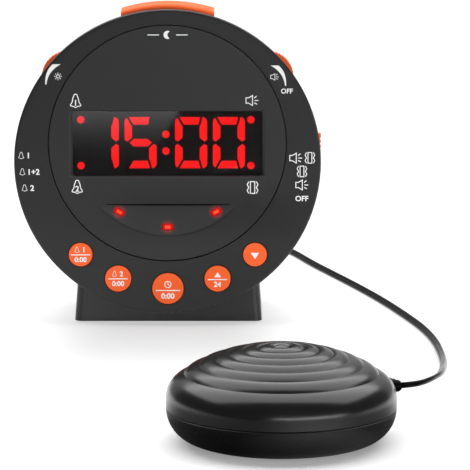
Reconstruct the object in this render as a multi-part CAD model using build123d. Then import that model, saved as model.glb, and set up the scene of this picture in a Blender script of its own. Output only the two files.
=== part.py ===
from build123d import *
import math
import os

# Bed shaker alarm clock: a round clock on a stand, a rippled vibrating shaker and the cord between them.
# Millimetres. +X is the viewer's right, the face looks towards -Y and +Z is up.
# The origin is the middle of the clock's foot pad, on the surface that it stands on.

# Clock body
face_radius = 60.3
face_edge = 0.8
rim_depth = 3.0
rim_lip_depth = 2.5
shoulder_step = 0.8
waist_radius = 56.8
waist_depth = 18.0
back_radius = 44.0
back_round = 4.0
body_depth = 50.0
wall = 2.2
fit = 0.2
running_fit = 0.05

# Stand and foot
stand_width = 74.4
stand_depth = 46.0
stand_setback = 8.0
saddle_rise = 20.8
saddle_gap = 0.2
stand_draft = 4.0
stand_corner = 3.0
foot_pad_thick = 0.6
foot_pad_inset = 3.0
base_plate_thick = 2.0
stand_boss_rise = 3.8
housing_boss_rise = 21.8

# Face panel, display window and lens
panel_radius = 46.65
panel_groove = 0.3
panel_lift = 7.6
panel_thick = 2.2
panel_edge = 0.25
bezel_floor = 2.2
window_width = 74.5
window_height = 25.4
window_flare_x = 1.1
window_flare_z = 0.5
window_corner = 1.0
lens_thick = 1.0
lens_overlap = 2.8
display_gap = 1.0
display_margin = 0.8

# Seven-segment digits
digit_height = 20.3
digit_width = 12.6
digit_pitch = 14.85
digit_pair_gap = 5.0
digits_shift = -0.65
digit_corner = 2.0
segment_width = 2.95
segment_gap = 0.42
segment_cut_left = 1.2
segment_cut_right = 2.3
segment_tip = 1.5
segment_notch = 1.9
segment_notch_half = 1.2
segment_thick = 0.3
dot_radius = 1.45
colon_spread = 6.6
corner_dot_x = 33.4
corner_dot_z = 9.1

# Smile-shaped scoop and its alert lights
scoop_radius = 36.9
scoop_top = -16.4
scoop_depth = 0.7
scoop_corner = 1.7
alert_light_width = 4.0
alert_light_height = 2.2
alert_light_radius = 33.2
alert_light_angle = 35.0
alert_light_tilt = 30.0

# Buttons on an arc under the panel
button_circle = 50.2
button_outer_angle = 43.2
button_inner_angle = 23.0
time_button_radius = 6.2
inner_button_radius = 5.2
outer_button_radius = 4.7
button_gap = 0.35
button_proud = 0.6
button_dome = 0.4
button_flange = 0.65
button_flange_thick = 1.0
button_stem_radius = 2.0
button_travel = 0.8
travel_spare = 0.1

# Circuit board, key switches and posts
board_depth = 16.0
board_thick = 1.6
board_radius = 53.5
key_size = 6.0
key_height = 3.5
key_plunger = 0.6
key_plunger_radius = 1.7
post_radius = 2.8
board_screw_high_x = 14.0
board_screw_high_z = 36.0
board_screw_low_x = 43.0
board_screw_low_z = -20.0
boss_spread = 25.5
boss_radius = 3.5
boss_depth = 22.0
screw_radius = 1.5
screw_head_radius = 2.7
screw_head_thick = 2.0
screw_fit = 0.05
well_wall = 1.2
well_floor = 2.0

# Snooze bar
snooze_width = 36.6
snooze_radius = 61.4
snooze_front = 9.6
snooze_length = 14.6
snooze_round = 1.6
snooze_travel = 1.5
snooze_gap = 0.3
snooze_flange = 1.6
snooze_flange_thick = 1.6
snooze_flange_drop = 2.6
snooze_post_radius = 2.0

# Thumbwheels
wheel_radius = 10.5
wheel_reach = 61.3
wheel_angle = 39.6
wheel_front = 9.6
wheel_thick = 3.4
wheel_teeth = 44
wheel_tooth_depth = 0.22
wheel_gap = 0.35
wheel_hub_radius = 1.8
control_radius = 4.0

# Slide knobs on the rim
knob_reach = 60.4
knob_length = 12.0
knob_thick = 4.0
knob_front = 9.6
knob_gap = 0.3
knob_rib = 0.35
knob_root = 53.0
mode_step = 4.5
mode_steps = 3
mode_rest = 4.0
alarm_step = 4.5
alarm_rest = -1.8
slide_switch_width = 6.5
slide_switch_front = 9.0
slide_stem_thick = 2.4
slide_stem_length = 4.0
slide_stem_depth = 2.2

# Speaker behind the grille
speaker_radius = 18.0
speaker_lift = 20.0
speaker_flange = 2.5
speaker_flange_thick = 1.5
speaker_magnet_radius = 10.0
speaker_magnet_thick = 5.0
speaker_basket_depth = 7.5
cone_thick = 0.6
grille_slot = 2.0
grille_pitch = 4.0
grille_margin = 3.0

# Backup cell under a twist cap
cap_radius = 12.5
cap_drop = 13.0
cap_thick = 2.0
cap_lug = 1.4
cap_lug_thick = 1.1
cap_lug_width = 6.0
cap_turn = 60.0
cap_slot_width = 1.6
cap_slot_length = 14.0
cell_radius = 10.0
cell_thick = 3.2
cell_fit = 0.5
contact_thick = 0.4

# Sockets on the back
socket_spread = 13.0
socket_drop = 31.5
inlet_nose_radius = 4.2
inlet_bore_radius = 2.9
inlet_pin_radius = 1.0
inlet_depth = 9.0
jack_nose_radius = 3.6
jack_pin_radius = 1.75
jack_depth = 15.0
socket_body = 8.6
socket_floor = 3.0

# Shaker
shaker_radius = 39.4
shaker_edge_radius = 11.2
shaker_equator = 15.5
shaker_dome = 17.5
shaker_dome_power = 1.8
shaker_lip_radius = 33.2
shaker_ripples = 7
shaker_ripple_rise = 0.7
shaker_seam = 0.3
shaker_wall = 2.4
shaker_bend = 0.74
shaker_bend_height = 0.66
shaker_pad_radius = 23.0
shaker_pad_thick = 0.8
shaker_x = 42.3
shaker_ahead = 197.4
shaker_screw_circle = 29.0
shaker_post_radius = 4.0
shaker_well_top = 7.0
motor_radius = 10.0
motor_length = 24.0
motor_height = 15.0
motor_shift = -8.0
shaft_radius = 1.5
shaft_free = 16.0
shaft_bearing = 6.0
weight_radius = 9.0
weight_thick = 9.0
weight_gap = 3.5
cradle_length = 20.0
cradle_side = 7.5
strap_thick = 1.5
strap_width = 8.0
grommet_angle = 21.0
grommet_height = 16.0
grommet_radius = 3.1
grommet_neck = 2.2
grommet_reach = 4.5
grommet_ribs = 3
grommet_collar_gap = 2.5

# Cord, plug and coil
cord_diameter = 3.0
plug_radius = 4.0
plug_length = 15.0
plug_relief = 10.0
plug_relief_tip = 2.2
plug_pin_length = 14.0
coil_turns = 3
coil_layers = 4
coil_tail = 0.25
coil_radius = 21.7
coil_gap = 0.5
coil_x = -4.0
coil_behind = 125.0
coil_climb = 0.5
tie_thick = 0.9
tie_width = 4.0
tie_gap = 0.3

# Values that follow from those above
face_y = -(stand_depth / 2 + stand_setback)
plate_top = foot_pad_thick + base_plate_thick
drum_clearance = plate_top + saddle_gap + wall + fit
axis_height = drum_clearance + face_radius
stand_height = drum_clearance + saddle_rise
shoulder_radius = face_radius - shoulder_step
bezel_wall = panel_thick + bezel_floor
side_slope = (shoulder_radius - waist_radius) / (waist_depth - rim_depth)
lip_radius = shoulder_radius - side_slope * rim_lip_depth - wall - fit
lip_end = rim_depth + rim_lip_depth
lens_front = panel_thick - lens_thick
display_front = panel_thick + display_gap
board_back = board_depth + board_thick
back_inside = body_depth - wall
scoop_slope = scoop_depth / (scoop_radius + scoop_top - panel_lift)
coil_pitch = cord_diameter + coil_gap
coil_floor = tie_thick + tie_gap + cord_diameter / 2

drum_axis = Axis((0, face_y, axis_height), (0, 1, 0))
turning_plane = Plane((0, face_y, axis_height), x_dir=(1, 0, 0), z_dir=(0, 0, 1))


def at_depth(depth):
    """Plane parallel to the face at a depth behind it, seen from the front with its middle on the drum axis."""
    return Plane((0, face_y + depth, axis_height), x_dir=(1, 0, 0), z_dir=(0, -1, 0))


def slab(outline, front, back):
    """Solid of a front-view outline between two depths behind the face."""
    return extrude(at_depth(back) * outline, back - front)


def rod(x, z, radius, front, back):
    """Round bar along Y between two depths."""
    return slab(Pos(x, z) * Circle(radius), front, back)


def turned(outline):
    """Body turned about the drum axis from an outline of radius and depth."""
    return revolve(turning_plane * outline, drum_axis)


def closed(*points):
    """Face of a closed straight-sided outline."""
    return make_face(Polyline(*points, close=True))


def column(x, y, radius, low, high):
    """Round upright bar between two heights."""
    return Pos(x, y, low) * Cylinder(radius, high - low, align=(Align.CENTER, Align.CENTER, Align.MIN))


def mirrored(place):
    """Both copies of a place, on the right and on the left."""
    return [place, (-place[0], place[1])]


def group(solids):
    """Several separate solids as one piece."""
    return Compound([solid for shape in solids for solid in shape.solids()])


housing_bosses = [(x, z) for x in (boss_spread, -boss_spread) for z in (boss_spread, -boss_spread)]
board_posts = mirrored((board_screw_high_x, board_screw_high_z)) + mirrored((board_screw_low_x, board_screw_low_z))
button_specs = {
    "alarm_one_button": (-button_outer_angle, outer_button_radius),
    "alarm_two_button": (-button_inner_angle, inner_button_radius),
    "time_button": (0.0, time_button_radius),
    "up_button": (button_inner_angle, inner_button_radius),
    "down_button": (button_outer_angle, outer_button_radius),
}


def button_place(angle):
    """Place of a button on its arc, counted from straight below the drum axis."""
    turn = math.radians(angle)
    return button_circle * math.sin(turn), -button_circle * math.cos(turn)


def bowl(grow, front):
    """Bowl of the rear housing, grown outwards by a distance and open towards the face at a depth."""
    start = (shoulder_radius + grow, front)
    waist = (waist_radius + grow, waist_depth)
    back = (back_radius + grow, body_depth + grow)
    side = Line(start, waist)
    flank = TangentArc(waist, back, tangent=(waist[0] - start[0], waist[1] - start[1]))
    rest = Polyline(back, (0, back[1]), (0, front), start)
    body = turned(make_face(side + flank + rest))
    edge = body.edges().filter_by(GeomType.CIRCLE).sort_by(Axis.Y)[-1]
    return fillet(edge, back_round + grow)


def drum(grow):
    """Whole outside of the clock's drum, grown by a distance."""
    rim = turned(closed((0, -grow), (face_radius + grow, -grow),
                        (face_radius + grow, rim_depth + grow), (0, rim_depth + grow)))
    return rim + bowl(grow, rim_depth)


def alert_light_places():
    """Place and tilt of each alert light along the lower edge of the scoop."""
    for side in (-1, 0, 1):
        turn = math.radians(alert_light_angle * side)
        yield (alert_light_radius * math.sin(turn), panel_lift - alert_light_radius * math.cos(turn),
               alert_light_tilt * side)


def alert_light_outlines(clearance):
    """Front-view outlines of the alert lights with a clearance all round."""
    shape = Rectangle(alert_light_width + 2 * clearance, alert_light_height + 2 * clearance)
    return [Pos(x, z) * Rot(0, 0, tilt) * shape for x, z, tilt in alert_light_places()]


def display_outline(clearance):
    """Front-view outline of the display module with a clearance all round."""
    width = window_width + 2 * display_margin + 2 * clearance
    height = window_height + 2 * display_margin + 2 * clearance
    return Pos(0, panel_lift) * Rectangle(width, height)


def make_front_bezel():
    """Moulded front ring with a pocket for the panel, button holes, a locating lip and screw posts."""
    body = turned(closed(
        (0, 0), (face_radius, 0), (face_radius, rim_depth), (lip_radius, rim_depth), (lip_radius, lip_end),
        (lip_radius - wall, lip_end), (lip_radius - wall, bezel_wall), (0, bezel_wall)))
    body = fillet(body.edges().filter_by(GeomType.CIRCLE).sort_by(Axis.Y)[0], face_edge)
    for x, z in housing_bosses:
        body += rod(x, z, boss_radius, bezel_wall, boss_depth)
    for x, z in board_posts:
        body += rod(x, z, post_radius, bezel_wall, board_depth)
    body -= slab(Pos(0, panel_lift) * Circle(panel_radius + panel_groove), 0, panel_thick)
    body -= slab(display_outline(fit), 0, bezel_wall)
    for outline in alert_light_outlines(fit):
        body -= slab(outline, 0, bezel_wall)
    for angle, radius in button_specs.values():
        x, z = button_place(angle)
        body -= rod(x, z, radius + button_gap, 0, bezel_wall)
        reach = radius + button_flange + button_gap
        body -= rod(x, z, reach, bezel_wall, lip_end)
        notch = Pos(0, -(button_circle + shoulder_radius) / 2) * Rectangle(2 * reach, shoulder_radius - button_circle)
        body -= slab(Rot(0, 0, angle) * notch, bezel_wall, lip_end)
    for x, z in housing_bosses:
        body -= rod(x, z, screw_radius + screw_fit, boss_depth - housing_screw_grip, boss_depth)
    for x, z in board_posts:
        body -= rod(x, z, screw_radius + screw_fit, board_depth - board_screw_grip, board_depth)
    return body


housing_screw_grip = 12.0
board_screw_grip = 7.0


def make_face_panel():
    """Round panel with a flared display window, a pocket for the lens and the smile-shaped scoop."""
    edge = panel_edge
    centre = Plane((0, face_y, axis_height + panel_lift), x_dir=(1, 0, 0), z_dir=(0, 0, 1))
    axis = Axis((0, face_y, axis_height + panel_lift), (0, 1, 0))
    disc = revolve(centre * closed((0, 0), (panel_radius - edge, 0), (panel_radius, edge),
                                   (panel_radius, panel_thick), (0, panel_thick)), axis)
    mouth = Pos(0, panel_lift) * RectangleRounded(
        window_width + 2 * window_flare_x, window_height + 2 * window_flare_z, window_corner + window_flare_z)
    throat = Pos(0, panel_lift) * RectangleRounded(window_width, window_height, window_corner)
    disc -= loft([at_depth(0) * mouth, at_depth(lens_front) * throat])
    disc -= slab(lens_outline(fit / 2), lens_front, panel_thick)
    scoop = revolve(centre * closed((0, 0), (scoop_radius, 0), (0, scoop_slope * scoop_radius)), axis)
    smile = Pos(0, panel_lift) * Circle(scoop_radius)
    smile &= Pos(0, scoop_top - scoop_radius) * Rectangle(2 * scoop_radius, 2 * scoop_radius)
    disc -= scoop & slab(fillet(smile.vertices(), scoop_corner), 0, panel_thick)
    for outline in alert_light_outlines(fit):
        disc -= slab(outline, 0, panel_thick)
    return disc


def lens_outline(clearance):
    """Front-view outline of the lens with a clearance all round."""
    width = window_width + 2 * lens_overlap + 2 * clearance
    height = window_height + 2 * lens_overlap + 2 * clearance
    return Pos(0, panel_lift) * RectangleRounded(width, height, window_corner)


def bar(start, end, width):
    """Straight bar of a width from one point to another, a little longer than the way between them."""
    run = Vector(*end) - Vector(*start)
    middle = Vector(*start) + run / 2
    turn = math.degrees(math.atan2(run.Y, run.X))
    return Pos(middle.X, middle.Y) * Rot(0, 0, turn) * Rectangle(run.length + 2 * width, width)


def digit_segments():
    """Seven segments of one digit by their letters: a rounded figure of eight, cut apart by narrow slots."""
    half_w = digit_width / 2
    half_h = digit_height / 2
    inner_w = half_w - segment_width
    inner_h = half_h - segment_width
    counter = inner_h - segment_width / 2
    figure = RectangleRounded(digit_width, digit_height, digit_corner)
    for up in (1, -1):
        figure -= Pos(0, up * (counter + segment_width) / 2) * Rectangle(2 * inner_w, counter)
        figure -= bar((segment_cut_left - half_w, up * half_h), (-inner_w, up * inner_h), segment_gap)
        figure -= bar((half_w - segment_cut_right, up * half_h), (inner_w, up * inner_h), segment_gap)
        for side in (1, -1):
            tip = (side * (half_w - segment_tip), 0)
            figure -= bar(tip, (side * inner_w, up * segment_width / 2), segment_gap)
    for side in (1, -1):
        figure -= closed((side * half_w, segment_notch_half), (side * (half_w - segment_notch), 0),
                         (side * half_w, -segment_notch_half))
    letters = {(0, 1): "a", (1, 1): "b", (1, -1): "c", (0, -1): "d", (-1, -1): "e", (-1, 1): "f", (0, 0): "g"}
    segments = {}
    for face in figure.faces():
        middle = face.center()
        side = (middle.X > segment_width) - (middle.X < -segment_width)
        up = (middle.Y > segment_width) - (middle.Y < -segment_width)
        segments[letters[side, up]] = face
    return segments


def make_segments():
    """Lit and dark segments of four digits reading fifteen hundred hours, with the colon and corner dots."""
    patterns = ["bc", "acdfg", "abcdef", "abcdef"]
    half_gap = digit_pair_gap / 2
    lit, dark = [], []
    for index, pattern in enumerate(patterns):
        side = -half_gap if index < 2 else half_gap
        centre = Pos(digits_shift + digit_pitch * (index - 1.5) + side, panel_lift)
        for letter, face in digit_segments().items():
            shapes = lit if letter in pattern else dark
            shapes.append(centre * face)
    for z in (colon_spread / 2, -colon_spread / 2):
        lit.append(Pos(digits_shift, panel_lift + z) * Circle(dot_radius))
    for x in (corner_dot_x, -corner_dot_x):
        for z in (corner_dot_z, -corner_dot_z):
            lit.append(Pos(x + digits_shift, panel_lift + z) * Circle(dot_radius))
    front = display_front - segment_thick
    return [group([slab(shape, front, display_front) for shape in shapes]) for shapes in (lit, dark)]


def make_alert_light_pipes():
    """Three clear rods that bring the alert lights from the board to the scoop's floor."""
    rods = []
    front = scoop_slope * (scoop_radius - alert_light_radius)
    for outline in alert_light_outlines(0):
        rods.append(slab(outline, front, board_depth))
    return group(rods)


def make_main_board():
    """Round board, cut away under the snooze bar, with holes for posts and screws."""
    notch_low = snooze_flange_low - snooze_travel - snooze_gap
    outline = Circle(board_radius) - Pos(0, notch_low + board_radius / 2) * Rectangle(
        snooze_width + 2 * snooze_flange + 2 * snooze_gap, board_radius)
    for x, z in housing_bosses:
        outline -= Pos(x, z) * Circle(boss_radius + fit)
    for x, z in board_posts:
        outline -= Pos(x, z) * Circle(screw_radius + fit)
    return slab(outline, board_depth, board_back)


def make_key_switches():
    """Five push switches on the board, one behind each button."""
    body_front = board_depth - key_height
    keys = []
    for angle, _ in button_specs.values():
        x, z = button_place(angle)
        body = slab(Pos(x, z) * Rectangle(key_size, key_size), body_front, board_depth)
        keys.append(body + rod(x, z, key_plunger_radius, body_front - key_plunger, body_front))
    return group(keys)


def make_button(angle, radius):
    """Round cap with a soft front edge, a flange behind the bezel and a stem towards its switch."""
    x, z = button_place(angle)
    flange_front = bezel_wall + fit
    flange_back = flange_front + button_flange_thick
    stem_end = board_depth - key_height - key_plunger - button_travel - travel_spare
    cap = fillet(rod(x, z, radius, -button_proud, flange_back).edges().sort_by(Axis.Y)[0], button_dome)
    flange = rod(x, z, radius + button_flange, flange_front, flange_back)
    flange &= rod(0, 0, lip_radius - fit, flange_front, flange_back)
    return cap + flange + rod(x, z, button_stem_radius, flange_back, stem_end)


snooze_back = snooze_front + snooze_length
snooze_flange_top = math.sqrt((waist_radius - wall - snooze_flange_drop) ** 2
                              - (snooze_width / 2 + snooze_flange) ** 2)
snooze_flange_low = snooze_flange_top - snooze_flange_thick
snooze_post_depth = board_back + key_size / 2


def make_snooze_bar():
    """Bar with a top that follows the drum, a flange that keeps it in and a post over its switch."""
    half = snooze_width / 2
    outline = Circle(snooze_radius) & Pos(0, snooze_flange_low + snooze_radius / 2) * Rectangle(
        snooze_width, snooze_radius)
    bar = slab(outline, snooze_front, snooze_back)
    crown = bar.edges().filter_by(GeomType.CIRCLE)
    bar = fillet(crown, snooze_round)
    height = (snooze_flange_top + snooze_flange_low) / 2
    flange = slab(Pos(0, height) * Rectangle(2 * (half + snooze_flange), snooze_flange_thick),
                  snooze_front - snooze_flange, snooze_back)
    post = column(0, face_y + snooze_post_depth, snooze_post_radius,
                  axis_height + snooze_switch_top + snooze_travel + snooze_gap, axis_height + snooze_flange_low)
    return bar + flange + post


snooze_switch_top = snooze_flange_low - snooze_travel - snooze_gap - 2.0


def make_snooze_switch():
    """Push switch standing on the back of the board under the snooze bar's post."""
    y = face_y + board_back + key_size / 2
    high = axis_height + snooze_switch_top - key_plunger
    body = Pos(0, y, high - key_height / 2) * Box(key_size, key_size, key_height)
    return body + column(0, y, key_plunger_radius, high, high + key_plunger)


wheel_circle = wheel_reach - wheel_radius
wheel_back = wheel_front + wheel_thick
wheel_place = (wheel_circle * math.cos(math.radians(wheel_angle)), wheel_circle * math.sin(math.radians(wheel_angle)))


def make_wheel(place):
    """Thumbwheel with a toothed edge and a hub that turns in its control."""
    x, z = place
    outline = Circle(wheel_radius)
    notch = wheel_radius * math.pi / wheel_teeth / 2
    for index in range(wheel_teeth):
        spoke = Rot(0, 0, 360 / wheel_teeth * index) * Pos(wheel_radius + notch - wheel_tooth_depth, 0)
        outline -= spoke * Circle(notch)
    return slab(Pos(x, z) * outline, wheel_front, wheel_back) + rod(
        x, z, wheel_hub_radius, wheel_back, board_depth - fit)


def make_control(place):
    """Round rotary control on the board with a bore for the wheel's hub."""
    x, z = place
    front = wheel_back + fit
    return rod(x, z, control_radius, front, board_depth) - rod(
        x, z, wheel_hub_radius + running_fit, front, board_depth)


slide_switch_out = knob_root - fit


def make_knob(side, rest):
    """Ribbed slide knob that reaches out through the housing's side, with a stem into its switch."""
    front, back = knob_front, knob_front + knob_thick
    middle = (front + back) / 2
    block = slab(Pos((knob_root + knob_reach) / 2, rest) * Rectangle(knob_reach - knob_root, knob_length), front, back)
    ribs = 5
    pitch = knob_length / (ribs + 1)
    for index in range(ribs):
        z = rest + pitch * (index - (ribs - 1) / 2)
        block -= slab(Pos(knob_reach, z) * Rectangle(2 * knob_rib, pitch / 2), front, back)
    stem = slab(Pos(knob_root - slide_stem_depth / 2, rest) * Rectangle(slide_stem_depth, slide_stem_length),
                middle - slide_stem_thick / 2, middle + slide_stem_thick / 2)
    knob = block + stem
    return knob if side > 0 else mirror(knob, Plane.YZ)


def make_slide_switch(side, rest, down, up):
    """Slide switch on the board with a slot for the knob's stem along its whole travel."""
    length = down + up + slide_stem_length + 2 * wall + 2 * fit
    centre = rest + (up - down) / 2
    body = slab(Pos(slide_switch_out - slide_switch_width / 2, centre) * Rectangle(slide_switch_width, length),
                slide_switch_front, board_depth)
    middle = knob_front + knob_thick / 2
    slot_depth = slide_stem_depth
    slot = slab(Pos(slide_switch_out - slot_depth / 2, centre) * Rectangle(slot_depth, length - 2 * wall),
                middle - slide_stem_thick / 2 - fit, middle + slide_stem_thick / 2 + fit)
    switch = body - slot
    return switch if side > 0 else mirror(switch, Plane.YZ)


def knob_slot(side, rest, down, up):
    """Slot through the housing's side for a slide knob along its whole travel."""
    length = knob_length + down + up + 2 * knob_gap
    centre = rest + (up - down) / 2
    slot = slab(Pos(face_radius, centre) * Rectangle(2 * (face_radius - knob_root), length),
                knob_front - knob_gap, knob_front + knob_thick + knob_gap)
    return slot if side > 0 else mirror(slot, Plane.YZ)


def grille_slots():
    """Level slots over the speaker, each as long as the circle is there."""
    reach = speaker_radius - grille_margin
    count = int(reach / grille_pitch)
    for index in range(-count, count + 1):
        z = index * grille_pitch
        length = 2 * math.sqrt(reach ** 2 - z ** 2) + grille_slot
        yield slab(Pos(0, speaker_lift + z) * SlotOverall(length, grille_slot), back_inside, body_depth)


cell_bore = cell_radius + cell_fit
cap_seat = body_depth - cap_thick
cap_groove = cap_seat - 1.0
cell_back = cap_groove - cap_lug_thick - 2 * fit
cell_front = cell_back - cell_thick
cup_front = cell_front - contact_thick
lug_reach = cell_bore + cap_lug


def make_rear_housing():
    """Bowl-shaped rear shell with screw wells, speaker grille, cell cup, sockets and slots for the controls."""
    shell = bowl(0, rim_depth) - bowl(-wall, rim_depth)
    well_front = boss_depth
    solid_bowl = bowl(-wall / 2, rim_depth)
    for x, z in housing_bosses:
        shell += rod(x, z, screw_head_radius + fit + well_wall, well_front, back_inside)
    shell += rod(0, -cap_drop, lug_reach + fit + well_wall, cup_front - wall / 2, back_inside)
    for x in (stand_screw_x, -stand_screw_x):
        shell += column(x, stand_screw_y, boss_radius, 0, stand_screw_top) & solid_bowl
    for x, z in housing_bosses:
        shell -= rod(x, z, screw_head_radius + fit, well_front + well_floor, body_depth)
        shell -= rod(x, z, screw_radius + fit, well_front, body_depth)
    for slot in grille_slots():
        shell -= slot
    shell -= rod(0, -cap_drop, cap_radius + fit, cap_seat, body_depth)
    shell -= rod(0, -cap_drop, cell_bore, cup_front, body_depth)
    shell -= rod(0, -cap_drop, lug_reach + fit, cap_groove - cap_lug_thick - fit, cap_groove + fit)
    entry = Pos(0, -cap_drop) * Rot(0, 0, -cap_turn) * Rectangle(2 * (lug_reach + fit), cap_lug_width + 2 * fit)
    shell -= slab(entry, cap_groove, cap_seat)
    shell -= rod(-socket_spread, -socket_drop, inlet_nose_radius + fit, back_inside, body_depth)
    shell -= rod(socket_spread, -socket_drop, jack_nose_radius + fit, back_inside, body_depth)
    shell -= slab(
        Pos(0, face_radius) * Rectangle(snooze_width + 2 * snooze_gap, 2 * (face_radius - snooze_flange_top)),
        snooze_front - snooze_gap, snooze_back + snooze_gap)
    for x, z in mirrored(wheel_place):
        shell -= rod(x, z, wheel_radius + wheel_gap, wheel_front - wheel_gap, wheel_back + wheel_gap)
        shell -= rod(x, z, control_radius + running_fit, wheel_back, board_depth)
    shell -= knob_slot(1, mode_rest, mode_step * mode_steps, 0)
    shell -= knob_slot(-1, alarm_rest, alarm_step, alarm_step)
    for x in (stand_screw_x, -stand_screw_x):
        shell -= column(x, stand_screw_y, screw_radius + screw_fit, 0, stand_screw_top)
    return shell


def make_speaker():
    """Basket with its flange on the back wall, paper cone and magnet."""
    plane = Plane((0, face_y, axis_height + speaker_lift), x_dir=(1, 0, 0), z_dir=(0, 0, 1))
    axis = Axis((0, face_y, axis_height + speaker_lift), (0, 1, 0))
    rim_front = back_inside - speaker_flange_thick
    seat = rim_front - speaker_basket_depth
    throat = speaker_magnet_radius
    inner = speaker_radius - speaker_flange
    basket = revolve(plane * closed(
        (0, seat), (throat, seat), (inner, rim_front), (speaker_radius, rim_front), (speaker_radius, back_inside),
        (inner - fit, back_inside), (inner - fit, rim_front), (throat - wall, seat + wall / 2), (0, seat + wall / 2)), axis)
    cone = revolve(plane * closed(
        (0, seat + wall), (throat / 2, seat + wall), (inner - 2 * fit, back_inside - cone_thick),
        (inner - 2 * fit, back_inside), (throat / 2, seat + wall + cone_thick), (0, seat + wall + cone_thick)), axis)
    magnet = revolve(plane * closed(
        (0, seat - speaker_magnet_thick), (speaker_magnet_radius, seat - speaker_magnet_thick),
        (speaker_magnet_radius, seat), (0, seat)), axis)
    return basket, cone, magnet


def make_battery_cap():
    """Twist cap with a coin slot, a neck and two bayonet lugs that turn in the cup's groove."""
    cap = rod(0, -cap_drop, cap_radius, cap_seat + fit, body_depth)
    cap += rod(0, -cap_drop, cell_bore - fit, cap_groove - cap_lug_thick, cap_seat + fit)
    lugs = slab(Pos(0, -cap_drop) * Rectangle(2 * lug_reach, cap_lug_width), cap_groove - cap_lug_thick, cap_groove)
    cap += lugs & rod(0, -cap_drop, lug_reach, 0, body_depth)
    slot = slab(Pos(0, -cap_drop) * SlotOverall(cap_slot_length, cap_slot_width), body_depth - cap_thick / 2, body_depth)
    return cap - slot


def make_dc_inlet():
    """Barrel inlet with its bore open to the back and a centre pin."""
    x, z = -socket_spread, -socket_drop
    floor = body_depth - inlet_depth
    body = slab(Pos(x, z) * Rectangle(socket_body, socket_body), floor - socket_floor, back_inside)
    body += rod(x, z, inlet_nose_radius, back_inside, body_depth)
    body -= rod(x, z, inlet_bore_radius, floor, body_depth)
    return body + rod(x, z, inlet_pin_radius, floor - fit, body_depth - wall / 2)


def make_shaker_jack():
    """Round jack for the shaker's plug."""
    x, z = socket_spread, -socket_drop
    floor = body_depth - jack_depth
    body = slab(Pos(x, z) * Rectangle(socket_body, socket_body), floor - socket_floor, back_inside)
    body += rod(x, z, jack_nose_radius, back_inside, body_depth)
    return body - rod(x, z, jack_pin_radius + running_fit, floor, body_depth)


def screw_along_y(x, z, seat, grip):
    """Pan-head screw pointing towards the face, its head behind a seat depth."""
    head = fillet(rod(x, z, screw_head_radius, seat, seat + screw_head_thick).edges().sort_by(Axis.Y)[-1],
                  screw_head_thick / 3)
    return head + rod(x, z, screw_radius, seat - grip, seat)


def screw_upright(x, y, seat, grip):
    """Pan-head screw pointing upwards, its head below a seat height."""
    head = fillet(column(x, y, screw_head_radius, seat - screw_head_thick, seat).edges().sort_by(Axis.Z)[0],
                  screw_head_thick / 3)
    return head + column(x, y, screw_radius, seat, seat + grip)


stand_screw_x = 20.0
stand_screw_y = 2.0
stand_screw_seat = drum_clearance + stand_boss_rise
stand_screw_top = drum_clearance + housing_boss_rise
base_screw_x = stand_width / 2 - 8.0
base_screw_y = stand_depth / 2 - 7.5
base_screw_grip = 7.0
base_screw_seat = plate_top - 0.4
base_screw_places = [(x, y) for x in (base_screw_x, -base_screw_x) for y in (base_screw_y, -base_screw_y)]


def stand_block(inset, low, high):
    """Tapered block of the stand, drawn in by a distance all round, between two heights."""
    shrink = math.tan(math.radians(stand_draft))

    def level(height):
        drawn = inset + shrink * (height - foot_pad_thick)
        return Pos(0, 0, height) * RectangleRounded(
            stand_width - 2 * drawn, stand_depth - 2 * drawn, stand_corner)

    return loft([level(low), level(high)])


def make_stand():
    """Hollow saddle under the drum with bosses for the base plate and for the screws into the housing."""
    block = stand_block(0, foot_pad_thick, stand_height)
    block = fillet(block.edges().group_by(Axis.Z)[-1], wall)
    hollow = stand_block(wall, foot_pad_thick, stand_height - wall)
    for x, y in base_screw_places:
        hollow -= column(x, y, boss_radius, plate_top, stand_height)
    for x in (stand_screw_x, -stand_screw_x):
        hollow -= column(x, stand_screw_y, boss_radius, stand_screw_seat, stand_height)
    stand = block - (hollow - drum(fit + wall)) - drum(fit)
    for x, y in base_screw_places:
        stand -= column(x, y, screw_radius + screw_fit, 0, plate_top + base_screw_grip)
    for x in (stand_screw_x, -stand_screw_x):
        stand -= column(x, stand_screw_y, screw_radius + fit, 0, stand_height)
    return stand


def base_plate_outline(inset):
    """Outline of the base plate drawn in by a distance all round."""
    drawn = wall + fit + inset + math.tan(math.radians(stand_draft)) * base_plate_thick
    return RectangleRounded(stand_width - 2 * drawn, stand_depth - 2 * drawn, stand_corner - fit)


def make_base_plate():
    """Flat plate that closes the stand, with counterbored screw holes."""
    plate = Pos(0, 0, foot_pad_thick) * extrude(base_plate_outline(0), base_plate_thick)
    for x, y in base_screw_places:
        plate -= column(x, y, screw_radius + fit, 0, plate_top)
        plate -= column(x, y, screw_head_radius + fit, 0, base_screw_seat)
    return plate


def make_foot_pad():
    """Soft pad under the base plate, cut out round the screws."""
    pad = extrude(base_plate_outline(foot_pad_inset - wall), foot_pad_thick)
    for x, y in base_screw_places:
        pad -= column(x, y, screw_head_radius + 2 * fit, 0, foot_pad_thick)
    return pad


shaker_y = face_y - shaker_ahead
shaker_place = Pos(shaker_x, shaker_y, 0)
shaker_seam_height = shaker_pad_thick + shaker_edge_radius
shaker_plane = Plane((shaker_x, shaker_y, 0), x_dir=(1, 0, 0), z_dir=(0, -1, 0))
shaker_axis = Axis((shaker_x, shaker_y, 0), (0, 0, 1))
shaker_screw_angles = (90.0, 210.0, 330.0)


def shaker_turned(outline):
    """Body turned about the shaker's upright axis from an outline of radius and height."""
    return revolve(shaker_plane * outline, shaker_axis)


def dome_height(radius):
    """Height of the dome's valleys: a rounded-square curve from the equator to the top."""
    share = (radius / shaker_radius) ** shaker_dome_power
    return shaker_equator + shaker_dome * (1 - share) ** (1 / shaker_dome_power)


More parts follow.
